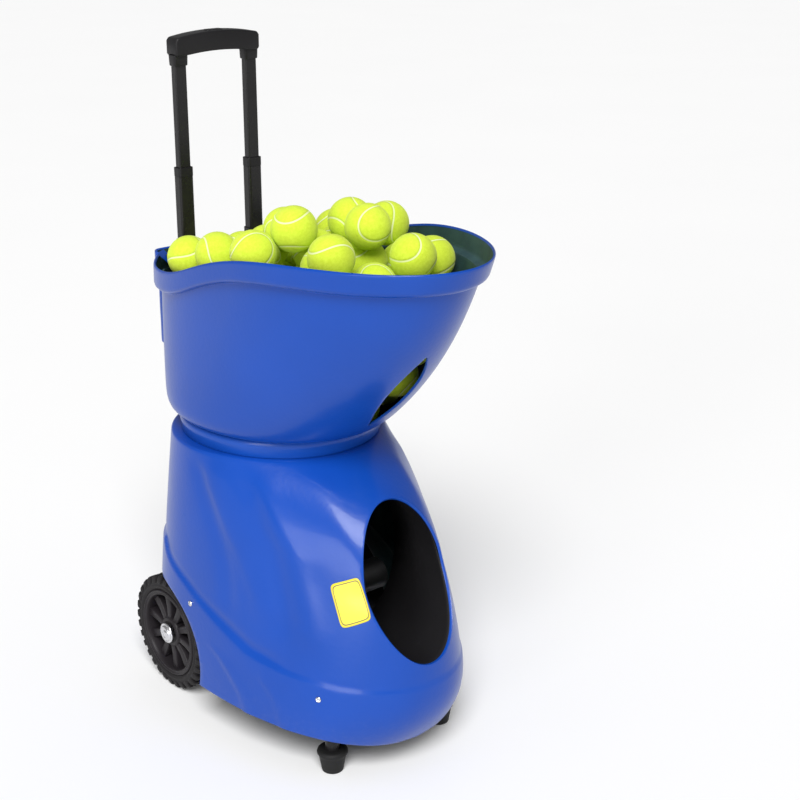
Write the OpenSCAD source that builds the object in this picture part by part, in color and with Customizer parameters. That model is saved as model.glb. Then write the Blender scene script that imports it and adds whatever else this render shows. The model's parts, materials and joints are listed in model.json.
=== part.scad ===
// Tennis ball machine: a wheeled launcher with a hopper on top. Front faces -Y, up is +Z, millimetres.
// Each sub-part below is one module; the machine is drawn about its neck, then moved to the origin.

/* [Display] */
// which sub-part to draw

/* [Lower shell] */
// half width of the lower shell at its lip
shell_w = 167; // [150:1:190]
// reach of the lower shell in front of the neck at its lip
shell_f = 180; // [150:1:200]
// how much further the toe of the shell reaches forward
toe_f = 186; // [120:1:220]
// height of the widest line of the skirt
skirt_z = 145; // [110:1:180]
// height of the lip of the lower shell
lip_z = 458; // [430:1:490]
// height of the lowest edge of the skirt at the toe
toe_z = 48; // [40:1:70]
// wall thickness of both mouldings
wall = 4; // [3:0.5:6]

/* [Hopper] */
// half width of the hopper where it meets the collar
hop_w = 165.6; // [150:1:185]
// reach of the hopper in front of the neck at its foot
hop_f = 188; // [170:1:210]
// reach of the hopper behind the neck
hop_b = 189; // [170:1:195]
// how far the foot of the hopper tucks in at the sides and rear
foot_tuck = 15; // [0:1:25]
// steady growth of the front reach towards the rim
hop_grow = 247; // [180:1:280]
// extra growth of the front reach near the rim
hop_fan = 51; // [0:1:90]
// height over which the growth fades out
hop_tau = 190; // [120:1:260]
// height of the hopper's foot
hop_z = 486; // [480:1:500]
// height of the rim where it climbs most steeply
rim_z = 739; // [720:1:760]
// how much higher the front of the rim stands
rim_rise = 50; // [20:1:70]
// how much lower the rim lies beside the handle
rim_drop = 33; // [10:1:50]
// height of the rim band
band_h = 36; // [20:1:50]
// how far the rim band stands out
band_out = 11; // [5:0.5:16]

/* [Wheels] */
// tyre radius
tyre_r = 96; // [80:1:110]
// tyre width
tyre_w = 40; // [30:1:50]
// axle position behind the neck
axle_y = 109; // [90:1:130]
// axle half length
axle_l = 160; // [150:1:170]
// axle radius
axle_r = 8; // [6:0.5:10]

/* [Handle] */
// half spacing of the handle tubes
tube_x = 63.5; // [55:0.5:75]
// tube position behind the neck
tube_y = 143; // [135:1:150]
// top of the lower sliding stage
mid_top = 845; // [800:1:880]
// underside of the grip sockets
grip_z = 997; // [950:1:1050]

/* [Launcher] */
// height of the ball path
path_z = 276; // [260:1:300]
// launch wheel radius
lw_r = 52; // [45:1:60]
// gap between the launch wheels
lw_gap = 52; // [46:1:60]
// launch wheel position in front of the neck
nip_y = -100; // [-120:1:-80]
// tilt and turn axis position
head_y = -10; // [-30:1:10]

/* [Balls] */
// tennis ball radius
ball_r = 33.25; // [32.7:0.05:34.3]
// how many drops are tried
ball_tries = 260; // [20:1:400]
// candidates looked at for each drop
ball_cands = 110; // [10:1:300]

/* [Hidden] */
$fn = 48;
run = 0.05;                  // radial running clearance
gap = 0.3;                   // clearance between curved neighbours
neck_y = 110.8;              // the neck sits this far behind the origin
ring_n = 72;                 // points round each loft ring
blue = [0.16, 0.33, 0.75];
black = [0.06, 0.06, 0.07];
steel = [0.62, 0.64, 0.67];
rubber = [0.1, 0.1, 0.1];

function clamp(a, lo = 0, hi = 1) = max(lo, min(hi, a));
function ease(a) = let (s = clamp(a)) s * s * (3 - 2 * s);
function spow(c, p) = sign(c) * pow(abs(c), p);

skirt_flare = 19;            // growth of the half width from lip to skirt
toe_tuck = 36;               // how far the toe turns under
shell_b = 168;               // reach of the lower shell behind the neck at its lip
rear_flare = 26;             // growth of that reach towards the floor
// ---- plan of the lower shell at height z: [half width, front, rear, front power, rear power]
function shell_plan(z) =
    let (u = clamp((lip_z - z) / (lip_z - skirt_z)), w = clamp((lip_z - z) / (lip_z - 50)))
    let (low = clamp((skirt_z - z) / 95))
    [shell_w + skirt_flare * (1 - pow(1 - w, 1.5)),
     shell_f + toe_f * (1 - pow(1 - u, 3.6)) - toe_tuck * pow(low, 2.2),
     shell_b + rear_flare * (1 - pow(1 - w, 1.6)),
     1.71 + 0.55 * ease((330 - z) / 240),
     2 + 0.3 * clamp(w * 1.6)];
function shell_pt(z, t, o) =
    let (p = shell_plan(z), c = cos(t), s = sin(t), n = s < 0 ? p[3] : p[4])
    [(p[0] + o) * spow(c, 2 / n), (s < 0 ? p[1] + o : p[2] + o) * spow(s, 2 / n), z];
// the skirt edge rises from the toe towards the sides
function skirt_low(t) = toe_z + 25 * pow(abs(cos(t)), 1.2);
// how far forward the inside of the shell reaches at (x, z)
function front_inside(x, z) =
    let (p = shell_plan(z), m = wall + 2)
    (p[1] - m) * pow(max(0, 1 - pow(abs(x) / (p[0] - m), p[3])), 1 / p[3]);

// ---- plan of the hopper at height z: [half width, front, rear, centre, rear power]
function hop_plan(z) =
    let (g = 1 - exp(-(z - hop_z) / hop_tau), tuck = foot_tuck * exp(-(z - hop_z) / 7))
    [hop_w - 6 * g - tuck, hop_f + hop_grow * g + hop_fan * g * g - tuck / 4, hop_b - tuck,
     -0.49 * (z - hop_z), 2 + g];
function hop_pt(z, t, o) =
    let (p = hop_plan(z), s = sin(t), n = s < 0 ? 2 : p[4])
    [(p[0] + o) * spow(cos(t), 2 / n),
     p[3] + (s < 0 ? p[1] + p[3] + o : p[2] - p[3] + o) * spow(s, 2 / n), z];
function tanh(a) = 1 - 2 / (exp(2 * a) + 1);
function rim_top(y) = let (v = -30 - y)
    rim_z + (v > 0 ? rim_rise * tanh(v / 128) : rim_drop * tanh(v / 84)) + 5 * ease((y - 130) / 50);

// closed band of rings: every ring is joined to the next and the last to the first
module ring_solid(rings) {
    m = len(rings);
    n = len(rings[0]);
    pts = [for (r = rings) for (p = r) p];
    polyhedron(points = pts, faces = [for (i = [0:m - 1]) for (j = [0:n - 1]) for (k = [0, 1])
        let (a = i * n, b = ((i + 1) % m) * n, q = (j + 1) % n)
        k == 0 ? [a + j, b + j, b + q] : [a + j, b + q, a + q]], convexity = 8);
}
module at_origin() {
    translate([0, neck_y, 0]) children();
}
module rrect(x, y, r) {
    square([x - 2 * r, y], center = true);
    square([x, y - 2 * r], center = true);
    for (i = [-1, 1]) for (j = [-1, 1])
        translate([i * (x / 2 - r), j * (y / 2 - r)]) circle(r);
}
module along_x(x, y, z) {
    translate([x, y, z]) rotate([0, 90, 0]) children();
}
module side_plate(x, t) {
    translate([x, 0, 0]) rotate([90, 0, 90]) linear_extrude(t, center = true) children();
}
module mirrored_x() {
    children();
    mirror([1, 0, 0]) children();
}

// ---- lower shell: a loft with a launch opening, wheel arches and a panel cut-out
shell_rows = [for (i = [0:17]) i / 17];
oval_z = 298.5;
oval_a = 75;
oval_b = 113;
arch_r = 112;
arch_y = 76;                 // the front of the arch is a second circle, ahead of the axle
arch_z = 98;
arch_front_r = 110;
panel_z = 330;
panel_w = 124;
panel_h = 94;
module body_shell() {
    outer = [for (s = shell_rows) [for (j = [0:ring_n - 1])
        let (t = 360 * j / ring_n, z0 = skirt_low(t)) shell_pt(z0 + (lip_z - 3 - z0) * s, t, 0)]];
    lip = [for (o = [-3, -21]) [for (j = [0:ring_n - 1]) let (t = 360 * j / ring_n)
        concat([for (k = [0, 1]) shell_pt(lip_z, t, o)[k]], [lip_z])]];
    under = [[for (j = [0:ring_n - 1]) let (t = 360 * j / ring_n)
        concat([for (k = [0, 1]) shell_pt(lip_z, t, -21)[k]], [lip_z - wall])]];
    inner = [for (i = [0:16]) [for (j = [0:ring_n - 1])
        let (t = 360 * j / ring_n, z0 = skirt_low(t), z1 = lip_z - wall)
        shell_pt(z1 - (z1 - z0) * i / 16, t, -wall)]];
    color(blue) at_origin() difference() {
        ring_solid(concat(outer, lip, under, inner));
        translate([0, -150, oval_z]) rotate([90, 0, 0]) linear_extrude(300)
            polygon([for (i = [0:47]) [oval_a * cos(i * 7.5), oval_b * sin(i * 7.5)]]);
        mirrored_x() along_x(105, axle_y, tyre_r) cylinder(r = arch_r, h = 120);
        mirrored_x() along_x(105, arch_y, arch_z) cylinder(r = arch_front_r, h = 120);
        mirrored_x() translate([105, axle_y, 0]) cube([120, 140, 150]);
        translate([0, 150, panel_z]) rotate([-90, 0, 0]) linear_extrude(80)
            square([panel_w, panel_h], center = true);
    }
}

// ---- hopper: a loft with a proud rim band, a handle recess at the rear and a leaf-shaped window in front
box_w = 94;
box_y = 191;
box_z = 560;
slot_z = 581;
slot_h = 70;
slot_w = 25;
foot_t = 2;                  // thickness of the flange at the hopper's foot
// rim band: [share of its height, share of its projection]
band_rule = [[0.06, 0.8], [0.2, 1], [0.88, 1], [0.97, 0.75], [1, 0.4], [1, -0.1], [0.93, -0.35]];
module hopper() {
    tops = [for (j = [0:ring_n - 1]) rim_top(hop_pt(757, 360 * j / ring_n, band_out)[1])];
    outer = [for (i = [0:14]) [for (j = [0:ring_n - 1])
        hop_pt(hop_z + (tops[j] - band_h - hop_z) * i / 14, 360 * j / ring_n, 0)]];
    band = [for (k = band_rule)
        [for (j = [0:ring_n - 1]) hop_pt(tops[j] - band_h * (1 - k[0]), 360 * j / ring_n, band_out * k[1])]];
    inner = [for (i = [0:15]) [for (j = [0:ring_n - 1])
        hop_pt(tops[j] - 8 - (tops[j] - 8 - hop_z - foot_t) * i / 15, 360 * j / ring_n, -wall)]];
    foot = [for (z = [hop_z + foot_t, hop_z]) [for (j = [0:ring_n - 1]) hop_pt(z, 360 * j / ring_n, -25)]];
    color(blue) at_origin() difference() {
        union() {
            ring_solid(concat(outer, band, inner, foot));
            translate([0, (box_y + 141) / 2, box_z]) linear_extrude(rim_top(box_y) - box_z)
                rrect(2 * box_w, box_y - 141, 12);
        }
        translate([-box_w + wall, 100, box_z + wall]) cube([2 * (box_w - wall), box_y - wall - 100, 300]);
        leaf_window();
    }
}
// window through the front of the hopper, pointed at both ends
module leaf_window() {
    n = 16;
    edge = [for (k = [-1, 1]) for (i = [0:n - 1]) let (v = k * (1 - 2 * i / n))
        [-k * slot_w * (1 - v * v), slot_h * v]];
    translate([0, -120, slot_z]) rotate([90, 0, 0]) linear_extrude(300) polygon(edge);
}
// ring between the two mouldings, narrower than both of them
neck_w = 151;
neck_f = 168;
neck_b = 152;
module neck_outline(o) {
    polygon([for (i = [0:71]) let (t = 5 * i, reach = t > 180 ? neck_f : neck_b)
        [(neck_w - o) * cos(t), (reach - o) * sin(t)]]);
}
module neck_collar() {
    color(blue) at_origin() translate([0, 0, lip_z]) linear_extrude(hop_z - lip_z) difference() {
        neck_outline(0);
        neck_outline(9);
    }
}

// ---- chassis
base_z = 70;
side_x = 95;
module base_plate() {
    n = 40;
    edge = [for (i = [0:n - 1]) let (p = shell_pt(75, 360 * i / n, -9)) [p[0], p[1]]];
    color(steel) at_origin() difference() {
        translate([0, 0, base_z]) linear_extrude(4) polygon(edge);
        mirrored_x() translate([101, -42, base_z - 1]) cube([120, 262, 6]);
        for (i = [-1, 1]) translate([i * foot_x, foot_y, base_z - 1]) cylinder(r = 6.5, h = 6);
    }
}
module side_plates() {
    color(steel) at_origin() for (i = [-1, 1]) side_plate(i * side_x, 3) difference() {
        union() {
            translate([45, base_z + 4]) square([80, deck_z - base_z - 4]);
            translate([axle_y, tyre_r]) circle(22);
        }
        translate([axle_y, tyre_r]) circle(axle_r);
        for (k = [0:3]) translate([85, 150 + 75 * k]) circle(24);
    }
}
module wheel_guards() {
    color(black) at_origin() for (i = [-1, 1]) side_plate(i * 103, 3) difference() {
        translate([-38, 61]) square([196, 153]);
        translate([axle_y, tyre_r]) circle(axle_r + 4);
    }
}
module axle() {
    color(steel) at_origin() along_x(-axle_l, axle_y, tyre_r) cylinder(r = axle_r, h = 2 * axle_l);
}

// ---- wheels: x runs outward from the hub centre of the left wheel
tyre_in = 120;
module wheel_rim() {
    ring_r = tyre_r - 22;
    along_x(tyre_in, axle_y, tyre_r) {
        difference() {
            translate([0, 0, 2]) cylinder(r = ring_r, h = tyre_w - 4, $fn = 72);
            translate([0, 0, -1]) cylinder(r = ring_r - 9, h = tyre_w + 2, $fn = 72);
        }
        difference() {
            union() {
                translate([0, 0, -6]) cylinder(r = 22, h = tyre_w + 2);
                for (k = [0:9]) rotate([0, 0, 36 * k]) translate([16, -6, 8])
                    cube([ring_r - 22, 12, tyre_w - 16]);
            }
            translate([0, 0, -10]) cylinder(r = axle_r + run, h = tyre_w + 20);
        }
    }
}
module wheel_tyre() {
    rim_r = tyre_r - 22;
    along_x(tyre_in, axle_y, tyre_r) rotate_extrude($fn = 96) {
        translate([rim_r, 2]) square([14, tyre_w - 4]);
        translate([rim_r + 13, 5]) square([tyre_r - rim_r - 13, tyre_w - 10]);
    }
}
module wheel_cap() {
    along_x(tyre_in + tyre_w - 4 + gap, axle_y, tyre_r) difference() {
        union() {
            cylinder(r = 17, h = 5);
            cylinder(r = 13, h = 8);
        }
        translate([0, 0, -1]) cylinder(r = axle_r + 0.4, h = 6);
    }
}
module left_wheel_rim() { color(black) at_origin() mirror([1, 0, 0]) wheel_rim(); }
module right_wheel_rim() { color(black) at_origin() wheel_rim(); }
module left_tyre() { color(rubber) at_origin() mirror([1, 0, 0]) wheel_tyre(); }
module right_tyre() { color(rubber) at_origin() wheel_tyre(); }
module left_hub_cap() { color(steel) at_origin() mirror([1, 0, 0]) wheel_cap(); }
module right_hub_cap() { color(steel) at_origin() wheel_cap(); }

// ---- front feet
foot_x = 106;
foot_y = -260;
module foot_stems() {
    color(black) at_origin() for (i = [-1, 1]) translate([i * foot_x, foot_y, 0]) {
        translate([0, 0, 36]) cylinder(r = 11, h = base_z - 36);
        translate([0, 0, base_z - 1]) cylinder(r = 6.4, h = 12);
        translate([0, 0, base_z + 4]) cylinder(r = 10, h = 6, $fn = 6);
    }
}
module foot_rubbers() {
    color(rubber) at_origin() for (i = [-1, 1]) translate([i * foot_x, foot_y, 0]) rotate_extrude()
        polygon([[0, 0], [15.5, 0], [16.5, 3], [20.5, 28], [23, 30], [23, 34], [21, 36], [0, 36]]);
}

// ---- feeder at the foot of the hopper
deck_z = 452;
disc_y = -20;
disc_z = deck_z + 4 + gap;
pocket_r = 36;
pocket_at = 78;
drop_y = disc_y + pocket_at;
module feeder_deck() {
    color(steel) at_origin() difference() {
        translate([0, -4, deck_z]) cylinder(r = 140, h = 4, $fn = 96);
        translate([0, drop_y, deck_z - 1]) cylinder(r = pocket_r + 1, h = 6);
        translate([0, disc_y, deck_z - 1]) cylinder(r = 6, h = 6);
    }
}
module feed_motor() {
    color(black) at_origin() translate([0, disc_y, 0]) difference() {
        union() {
            translate([0, 0, deck_z - 36]) cylinder(r = 28, h = 36);
            translate([-36, -12, deck_z - 5]) cube([72, 24, 5]);
        }
        translate([0, 0, deck_z - 20]) cylinder(r = 5 + run, h = 30);
    }
}
module feed_disc() {
    color(black) at_origin() translate([0, disc_y, disc_z]) {
        difference() {
            cylinder(r = 118, h = 32, $fn = 96);
            for (k = [0:4]) rotate([0, 0, 90 + 72 * k]) translate([pocket_at, 0, -1])
                cylinder(r = pocket_r, h = 40);
        }
        translate([0, 0, 32]) cylinder(r1 = 24, r2 = 8, h = 6);
        translate([0, 0, -22]) cylinder(r = 5, h = 23);
    }
}
// floor plate of the hopper round the feed disc, on a low wall
module feed_skirt() {
    floor_z = disc_z + 32;
    n = 48;
    edge = [for (i = [0:n - 1]) let (p = hop_pt(floor_z, 360 * i / n, -wall - 3)) [p[0], p[1]]];
    color(black) at_origin() difference() {
        union() {
            translate([0, disc_y, deck_z + 4]) cylinder(r = 123, h = floor_z - deck_z - 2, $fn = 96);
            translate([0, 0, floor_z]) linear_extrude(3) polygon(edge);
        }
        translate([0, disc_y, deck_z]) cylinder(r = 119.5, h = 60, $fn = 96);
    }
}
module drop_tube() {
    color(black) at_origin() translate([0, drop_y, 0]) difference() {
        union() {
            translate([0, 0, 350]) cylinder(r = 40, h = deck_z - 350);
            translate([0, 0, deck_z - 4]) cylinder(r = 46, h = 4);
        }
        translate([0, 0, 340]) cylinder(r = 37, h = 200);
    }
}

// ---- launching head: turn about Z, tilt about X
table_z = 112;
plate_x = 48;
post_x = 60;
module yaw_motor() {
    color(black) at_origin() translate([0, head_y, base_z + 4]) difference() {
        cylinder(r = 34, h = 32);
        translate([0, 0, 10]) cylinder(r = 6 + run, h = 40);
    }
}
module yaw_ring() {
    color(steel) at_origin() translate([0, head_y, 0]) {
        difference() {
            translate([0, 0, 100]) cylinder(r = 64, h = table_z - 100 - gap);
            translate([0, 0, 99]) cylinder(r = 52, h = 30);
        }
        for (k = [0:3]) rotate([0, 0, 45 + 90 * k]) translate([58, 0, base_z + 4]) cylinder(r = 4, h = 27);
    }
}
module yaw_table() {
    color(steel) at_origin() {
        translate([0, head_y, table_z]) cylinder(r = 76, h = 4);
        translate([0, head_y, table_z - 20]) cylinder(r = 6, h = 21);
        for (i = [-1, 1]) side_plate(i * post_x, 4) difference() {
            union() {
                translate([head_y - 30, table_z + 3]) square([60, path_z - table_z - 3]);
                translate([head_y, path_z]) circle(30);
            }
            translate([head_y, path_z]) circle(8 + run);
        }
    }
}
module tilt_motor() {
    color(black) at_origin() along_x(-post_x - 2 - 44, head_y, path_z) difference() {
        union() {
            cylinder(r = 22, h = 44);
            translate([-28, -28, 40]) cube([56, 56, 4]);
        }
        translate([0, 0, 30]) cylinder(r = 8 + run, h = 20);
    }
}
lw_off = lw_r + lw_gap / 2;
module head_side() {
    difference() {
        union() {
            translate([nip_y - 40, path_z - 46]) square([240, 92]);
            translate([nip_y - 28, path_z - lw_off - 6]) square([56, 2 * lw_off + 12]);
            for (k = [-1, 1]) translate([nip_y, path_z + k * lw_off]) circle(28);
        }
        for (k = [-1, 1]) translate([nip_y, path_z + k * lw_off]) circle(6 + run);
    }
}
module head_frame() {
    color(steel) at_origin() {
        for (i = [-1, 1]) side_plate(i * plate_x, 3) head_side();
        translate([-plate_x, nip_y + 197, path_z - 40]) cube([2 * plate_x, 3, 84]);
        for (k = [60, 120]) along_x(-plate_x, nip_y + k, path_z - 42) cylinder(r = 4, h = 2 * plate_x);
        along_x(-post_x - 12, head_y, path_z) cylinder(r = 8, h = post_x + 12 - plate_x);
        along_x(plate_x, head_y, path_z) cylinder(r = 8, h = post_x + 2 - plate_x);
    }
}
rail_x = 30;
module feed_rails() {
    drop = sqrt(pow(ball_r + 4, 2) - rail_x * rail_x);
    color(steel) at_origin() {
        for (i = [-1, 1]) translate([i * rail_x, nip_y - 36, path_z - drop]) rotate([-90, 0, 0])
            cylinder(r = 4, h = 232);
        for (y = [nip_y - 30, nip_y + 150]) along_x(-plate_x + 1.5, y, path_z - drop - 7)
            cylinder(r = 3.5, h = 2 * plate_x - 3);
    }
}
module wheel_hub(k) {
    along_x(0, nip_y, path_z + k * lw_off) {
        difference() {
            cylinder(r = lw_r - 12, h = 40, center = true);
            for (z = [-21, 13]) translate([0, 0, z]) difference() {
                cylinder(r = lw_r - 18, h = 8);
                translate([0, 0, -1]) cylinder(r = 14, h = 10);
            }
        }
        translate([0, 0, k > 0 ? -66 : -50]) cylinder(r = 6, h = 116);
    }
}
module wheel_rubber(k) {
    along_x(0, nip_y, path_z + k * lw_off) difference() {
        cylinder(r = lw_r, h = 44, center = true, $fn = 72);
        cylinder(r = lw_r - 12, h = 50, center = true);
    }
}
module launch_motor(k) {
    along_x(k > 0 ? -plate_x - 1.5 - 66 : plate_x + 1.5, nip_y, path_z + k * lw_off) difference() {
        union() {
            cylinder(r = 25, h = 66);
            translate([0, 0, k > 0 ? -6 : 66]) cylinder(r = 12, h = 6);
        }
        translate([0, 0, k > 0 ? 40 : -1]) cylinder(r = 6 + run, h = 27);
    }
}
module upper_wheel_hub() { color(steel) at_origin() wheel_hub(1); }
module lower_wheel_hub() { color(steel) at_origin() wheel_hub(-1); }
module upper_wheel_tyre() { color(rubber) at_origin() wheel_rubber(1); }
module lower_wheel_tyre() { color(rubber) at_origin() wheel_rubber(-1); }
module upper_motor() { color(black) at_origin() launch_motor(1); }
module lower_motor() { color(black) at_origin() launch_motor(-1); }
// dark tunnel behind the launch opening
module muzzle_liner() {
    color(black) at_origin() intersection() {
        translate([0, -190, oval_z]) rotate([90, 0, 0]) linear_extrude(160) difference() {
            polygon([for (i = [0:47]) [(oval_a + 7) * cos(i * 7.5), (oval_b + 6) * sin(i * 7.5)]]);
            polygon([for (i = [0:47]) [(oval_a + 3.5) * cos(i * 7.5), (oval_b + 2.5) * sin(i * 7.5)]]);
        }
        rotate([90, 0, 90]) linear_extrude(300, center = true)
            polygon(concat([[-180, oval_z + oval_b + 10], [-180, oval_z - oval_b - 10]],
                [for (i = [-8:8]) let (a = 11.25 * i, z = oval_z + (oval_b + 6) * sin(a))
                    [-front_inside((oval_a + 7) * cos(a), z), z]]));
    }
}

// ---- electrics
module battery() {
    color(black) at_origin() {
        translate([-75, -262, base_z + 4]) cube([150, 156, 48]);
        for (i = [-1, 1]) translate([i * 52, -118, base_z + 51]) cylinder(r = 6, h = 7);
    }
}
module control_board() {
    color([0.1, 0.4, 0.2]) at_origin() {
        translate([-65, 120, 125]) cube([130, 2, 90]);
        for (i = [-1, 1]) translate([i * 55 - 3, 120, base_z + 4]) cube([6, 5, 52]);
        translate([-40, 108, 150]) cube([28, 13, 40]);
        for (k = [0:2]) translate([5 + 18 * k, 121, 165]) rotate([90, 0, 0]) cylinder(r = 7, h = 18);
    }
}
face_y = 190;
module control_panel() {
    color(black) at_origin() difference() {
        translate([0, 158, panel_z]) rotate([-90, 0, 0]) linear_extrude(face_y - 158)
            rrect(panel_w - 0.6, panel_h - 0.6, 8);
        translate([-panel_w / 2 + 4, 150, panel_z - panel_h / 2 + 4])
            cube([panel_w - 8, face_y - 154, panel_h - 8]);
        translate([-35 - 6.5, 180, panel_z + 8]) cube([13, 20, 22.6]);
        translate([35, 180, panel_z + 19.3]) rotate([-90, 0, 0]) cylinder(r = 8, h = 20);
    }
}
module power_rocker() {
    color([0.75, 0.08, 0.06]) at_origin() along_x(-35 - 6.1, face_y - 2, panel_z + 19.3) rotate([0, 0, 9])
        linear_extrude(12.2) intersection() {
            circle(11);
            polygon([[-11, -2], [11, -2], [11, 3.8], [0, 1.6], [-11, 3.8]]);
        }
}
module charge_socket() {
    color(black) at_origin() translate([35, 0, panel_z + 19.3]) rotate([-90, 0, 0]) difference() {
        union() {
            translate([0, 0, face_y - 22]) cylinder(r = 7.8, h = 24);
            translate([0, 0, face_y]) cylinder(r = 11, h = 3);
        }
        translate([0, 0, face_y - 15]) cylinder(r = 5, h = 30);
    }
}
// pan-head screws through the shell
module shell_screws() {
    color(steel) at_origin() mirrored_x() {
        for (s = [[181.6, 205], [225.1, 134]]) {
            p = shell_pt(s[1], s[0], 0);
            q = shell_pt(s[1], s[0] + 2, 0) - p;
            translate(p) rotate([0, 0, atan2(q[1], q[0])]) rotate([90, 0, 0]) translate([0, 0, -3])
                cylinder(r = 4.5, h = 5.5);
        }
    }
}

// ---- telescopic handle
module tube(x, y, w, d, z0, z1, t, r) {
    translate([x, y, z0]) linear_extrude(z1 - z0) difference() {
        rrect(w, d, r);
        rrect(w - 2 * t, d - 2 * t, r - t);
    }
}
sleeve_low = 566;
sleeve_top = 733;
module handle_sleeves() {
    color(black) at_origin() for (i = [-1, 1])
        tube(i * tube_x, tube_y, 28.4, 22.4, sleeve_low, sleeve_top, 1.7, 5.5);
}
module handle_bracket() {
    color(steel) at_origin() for (z = [590, 700]) translate([0, 0, z]) difference() {
        translate([-84, 129, 0]) cube([168, box_y - wall - 129, 5]);
        for (i = [-1, 1]) translate([i * tube_x, tube_y, -1]) linear_extrude(8) rrect(28.4, 22.4, 5.5);
        translate([-40, 120, -1]) cube([80, 45, 8]);
    }
}
module mid_tubes() {
    color(black) at_origin() for (i = [-1, 1])
        tube(i * tube_x, tube_y, 24.6, 18.6, mid_top - 168, mid_top - 14, 2.2, 4.2);
}
module mid_collars() {
    color(black) at_origin() for (i = [-1, 1])
        tube(i * tube_x, tube_y, 25.4, 19.4, mid_top - 14, mid_top, 2.6, 4.6);
}
module upper_tubes() {
    color(black) at_origin() for (i = [-1, 1])
        tube(i * tube_x, tube_y, 19.5, 13.5, grip_z - 184, grip_z + 14, 1.5, 2.4);
}
module handle_grip() {
    bar_r = 390;
    color(black) at_origin() difference() {
        union() {
            for (i = [-1, 1]) translate([i * tube_x, tube_y, grip_z]) linear_extrude(30) rrect(29, 25, 5);
            intersection() {
                translate([0, tube_y, grip_z + 14]) linear_extrude(60) rrect(2 * tube_x + 31, 31, 9);
                translate([0, tube_y + 40, grip_z + 48 - bar_r]) rotate([90, 0, 0])
                    cylinder(r = bar_r, h = 80, $fn = 180);
            }
        }
        for (i = [-1, 1]) translate([i * tube_x, tube_y, grip_z - 1]) linear_extrude(15)
            rrect(19.5, 13.5, 2.4);
        translate([0, tube_y, grip_z + 34]) linear_extrude(30) rrect(31, 15, 5);
    }
}
module release_button() {
    color([0.2, 0.2, 0.22]) at_origin() translate([0, tube_y, grip_z + 38]) linear_extrude(11)
        rrect(30, 14, 4.6);
}

// ---- heaped balls: each new ball drops down the column that lets it settle lowest
heap_seed = 11;
clear_d = 2 * ball_r + 0.25;
heap_floor = disc_z + 35.5 + ball_r;
function lean(z) = let (e = exp(-(z - hop_z) / hop_tau))
    sqrt(1 + pow((hop_grow + 2 * hop_fan * (1 - e)) * e / hop_tau, 2));
function fits(x, y, z) =
    let (p = hop_plan(z), m = ball_r + wall + 2.5)
    let (f = p[1] + p[3] - m * lean(z), b = p[2] - p[3] - m, v = y - p[3], n = v < 0 ? 2 : p[4])
    pow(abs(x) / (p[0] - m), n) + pow(abs(v) / (v < 0 ? f : b), n) < 1 && !(abs(x) < 122 && y > 94);
function floor_at(x, y, lo = heap_floor, hi = 790, k = 10) =
    k == 0 ? hi : let (m = (lo + hi) / 2)
    fits(x, y, m) ? floor_at(x, y, lo, m, k - 1) : floor_at(x, y, m, hi, k - 1);
function rest_z(x, y, placed) = max(concat([floor_at(x, y)], [for (b = placed)
    let (d = (b[0] - x) * (b[0] - x) + (b[1] - y) * (b[1] - y))
    if (d < clear_d * clear_d) b[2] + sqrt(clear_d * clear_d - d)]));
// the heap is domed, falls away at the front, and leans up towards its far side
function heap_cap(x, y) =
    let (far = 0.762 * x - 0.647 * y)
    let (crest = 262 - 0.25 * max(0, 60 - far) - 0.75 * max(0, far - 200))
    min(808 - 45 * pow(x / 150, 2) - 0.55 * max(0, -190 - y),
        492 + (crest - 0.219 * x - 0.258 * y) / 0.941);
function best_of(c, i = 0, b = [0, 0, 9999]) = i == len(c) ? b : best_of(c, i + 1, c[i][2] < b[2] ? c[i] : b);
function drop_one(i, placed) =
    let (u = rands(-1, 1, 2 * ball_cands, heap_seed + i))
    let (c = [for (k = [0:ball_cands - 1])
        let (x = 125 * u[2 * k], y = -110 + 260 * u[2 * k + 1])
        if (fits(x, y, 760)) [x, y, rest_z(x, y, placed)]])
    best_of([for (q = c) if (q[2] < heap_cap(q[0], q[1])) q]);
function heap(i = 0, placed = [[0, disc_y, disc_z + 5]]) =
    i == ball_tries ? [for (k = [1:len(placed) - 1]) placed[k]] :
    let (b = drop_one(i, placed)) heap(i + 1, b[2] > 9000 ? placed : concat(placed, [b]));
module tennis_balls() {
    color([0.8, 0.95, 0.2]) at_origin() for (b = heap()) translate(b) sphere(r = ball_r);
}

body_shell();
hopper();
neck_collar();
base_plate();
side_plates();
wheel_guards();
axle();
left_wheel_rim();
right_wheel_rim();
left_tyre();
right_tyre();
left_hub_cap();
right_hub_cap();
foot_stems();
foot_rubbers();
feeder_deck();
feed_motor();
feed_disc();
feed_skirt();
drop_tube();
yaw_motor();
yaw_ring();
yaw_table();
tilt_motor();
head_frame();
feed_rails();
upper_wheel_hub();
upper_wheel_tyre();
upper_motor();
lower_wheel_hub();
lower_wheel_tyre();
lower_motor();
muzzle_liner();
battery();
control_board();
control_panel();
power_rocker();
charge_socket();
shell_screws();
handle_bracket();
handle_sleeves();
mid_tubes();
mid_collars();
upper_tubes();
handle_grip();
release_button();
tennis_balls();
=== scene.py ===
# %% [markdown]
# # A tennis ball machine
# A wheeled launcher: a moulded lower shell, a scoop-shaped hopper full of balls, and a pull handle behind.
# The solid parts and their joints are packed already, so this file loads them as a fixed frame and dresses them.
# Sizes are worked out in millimetres about the neck of the machine and turned into metres in one place.

# %% Load the frame
import json

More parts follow.
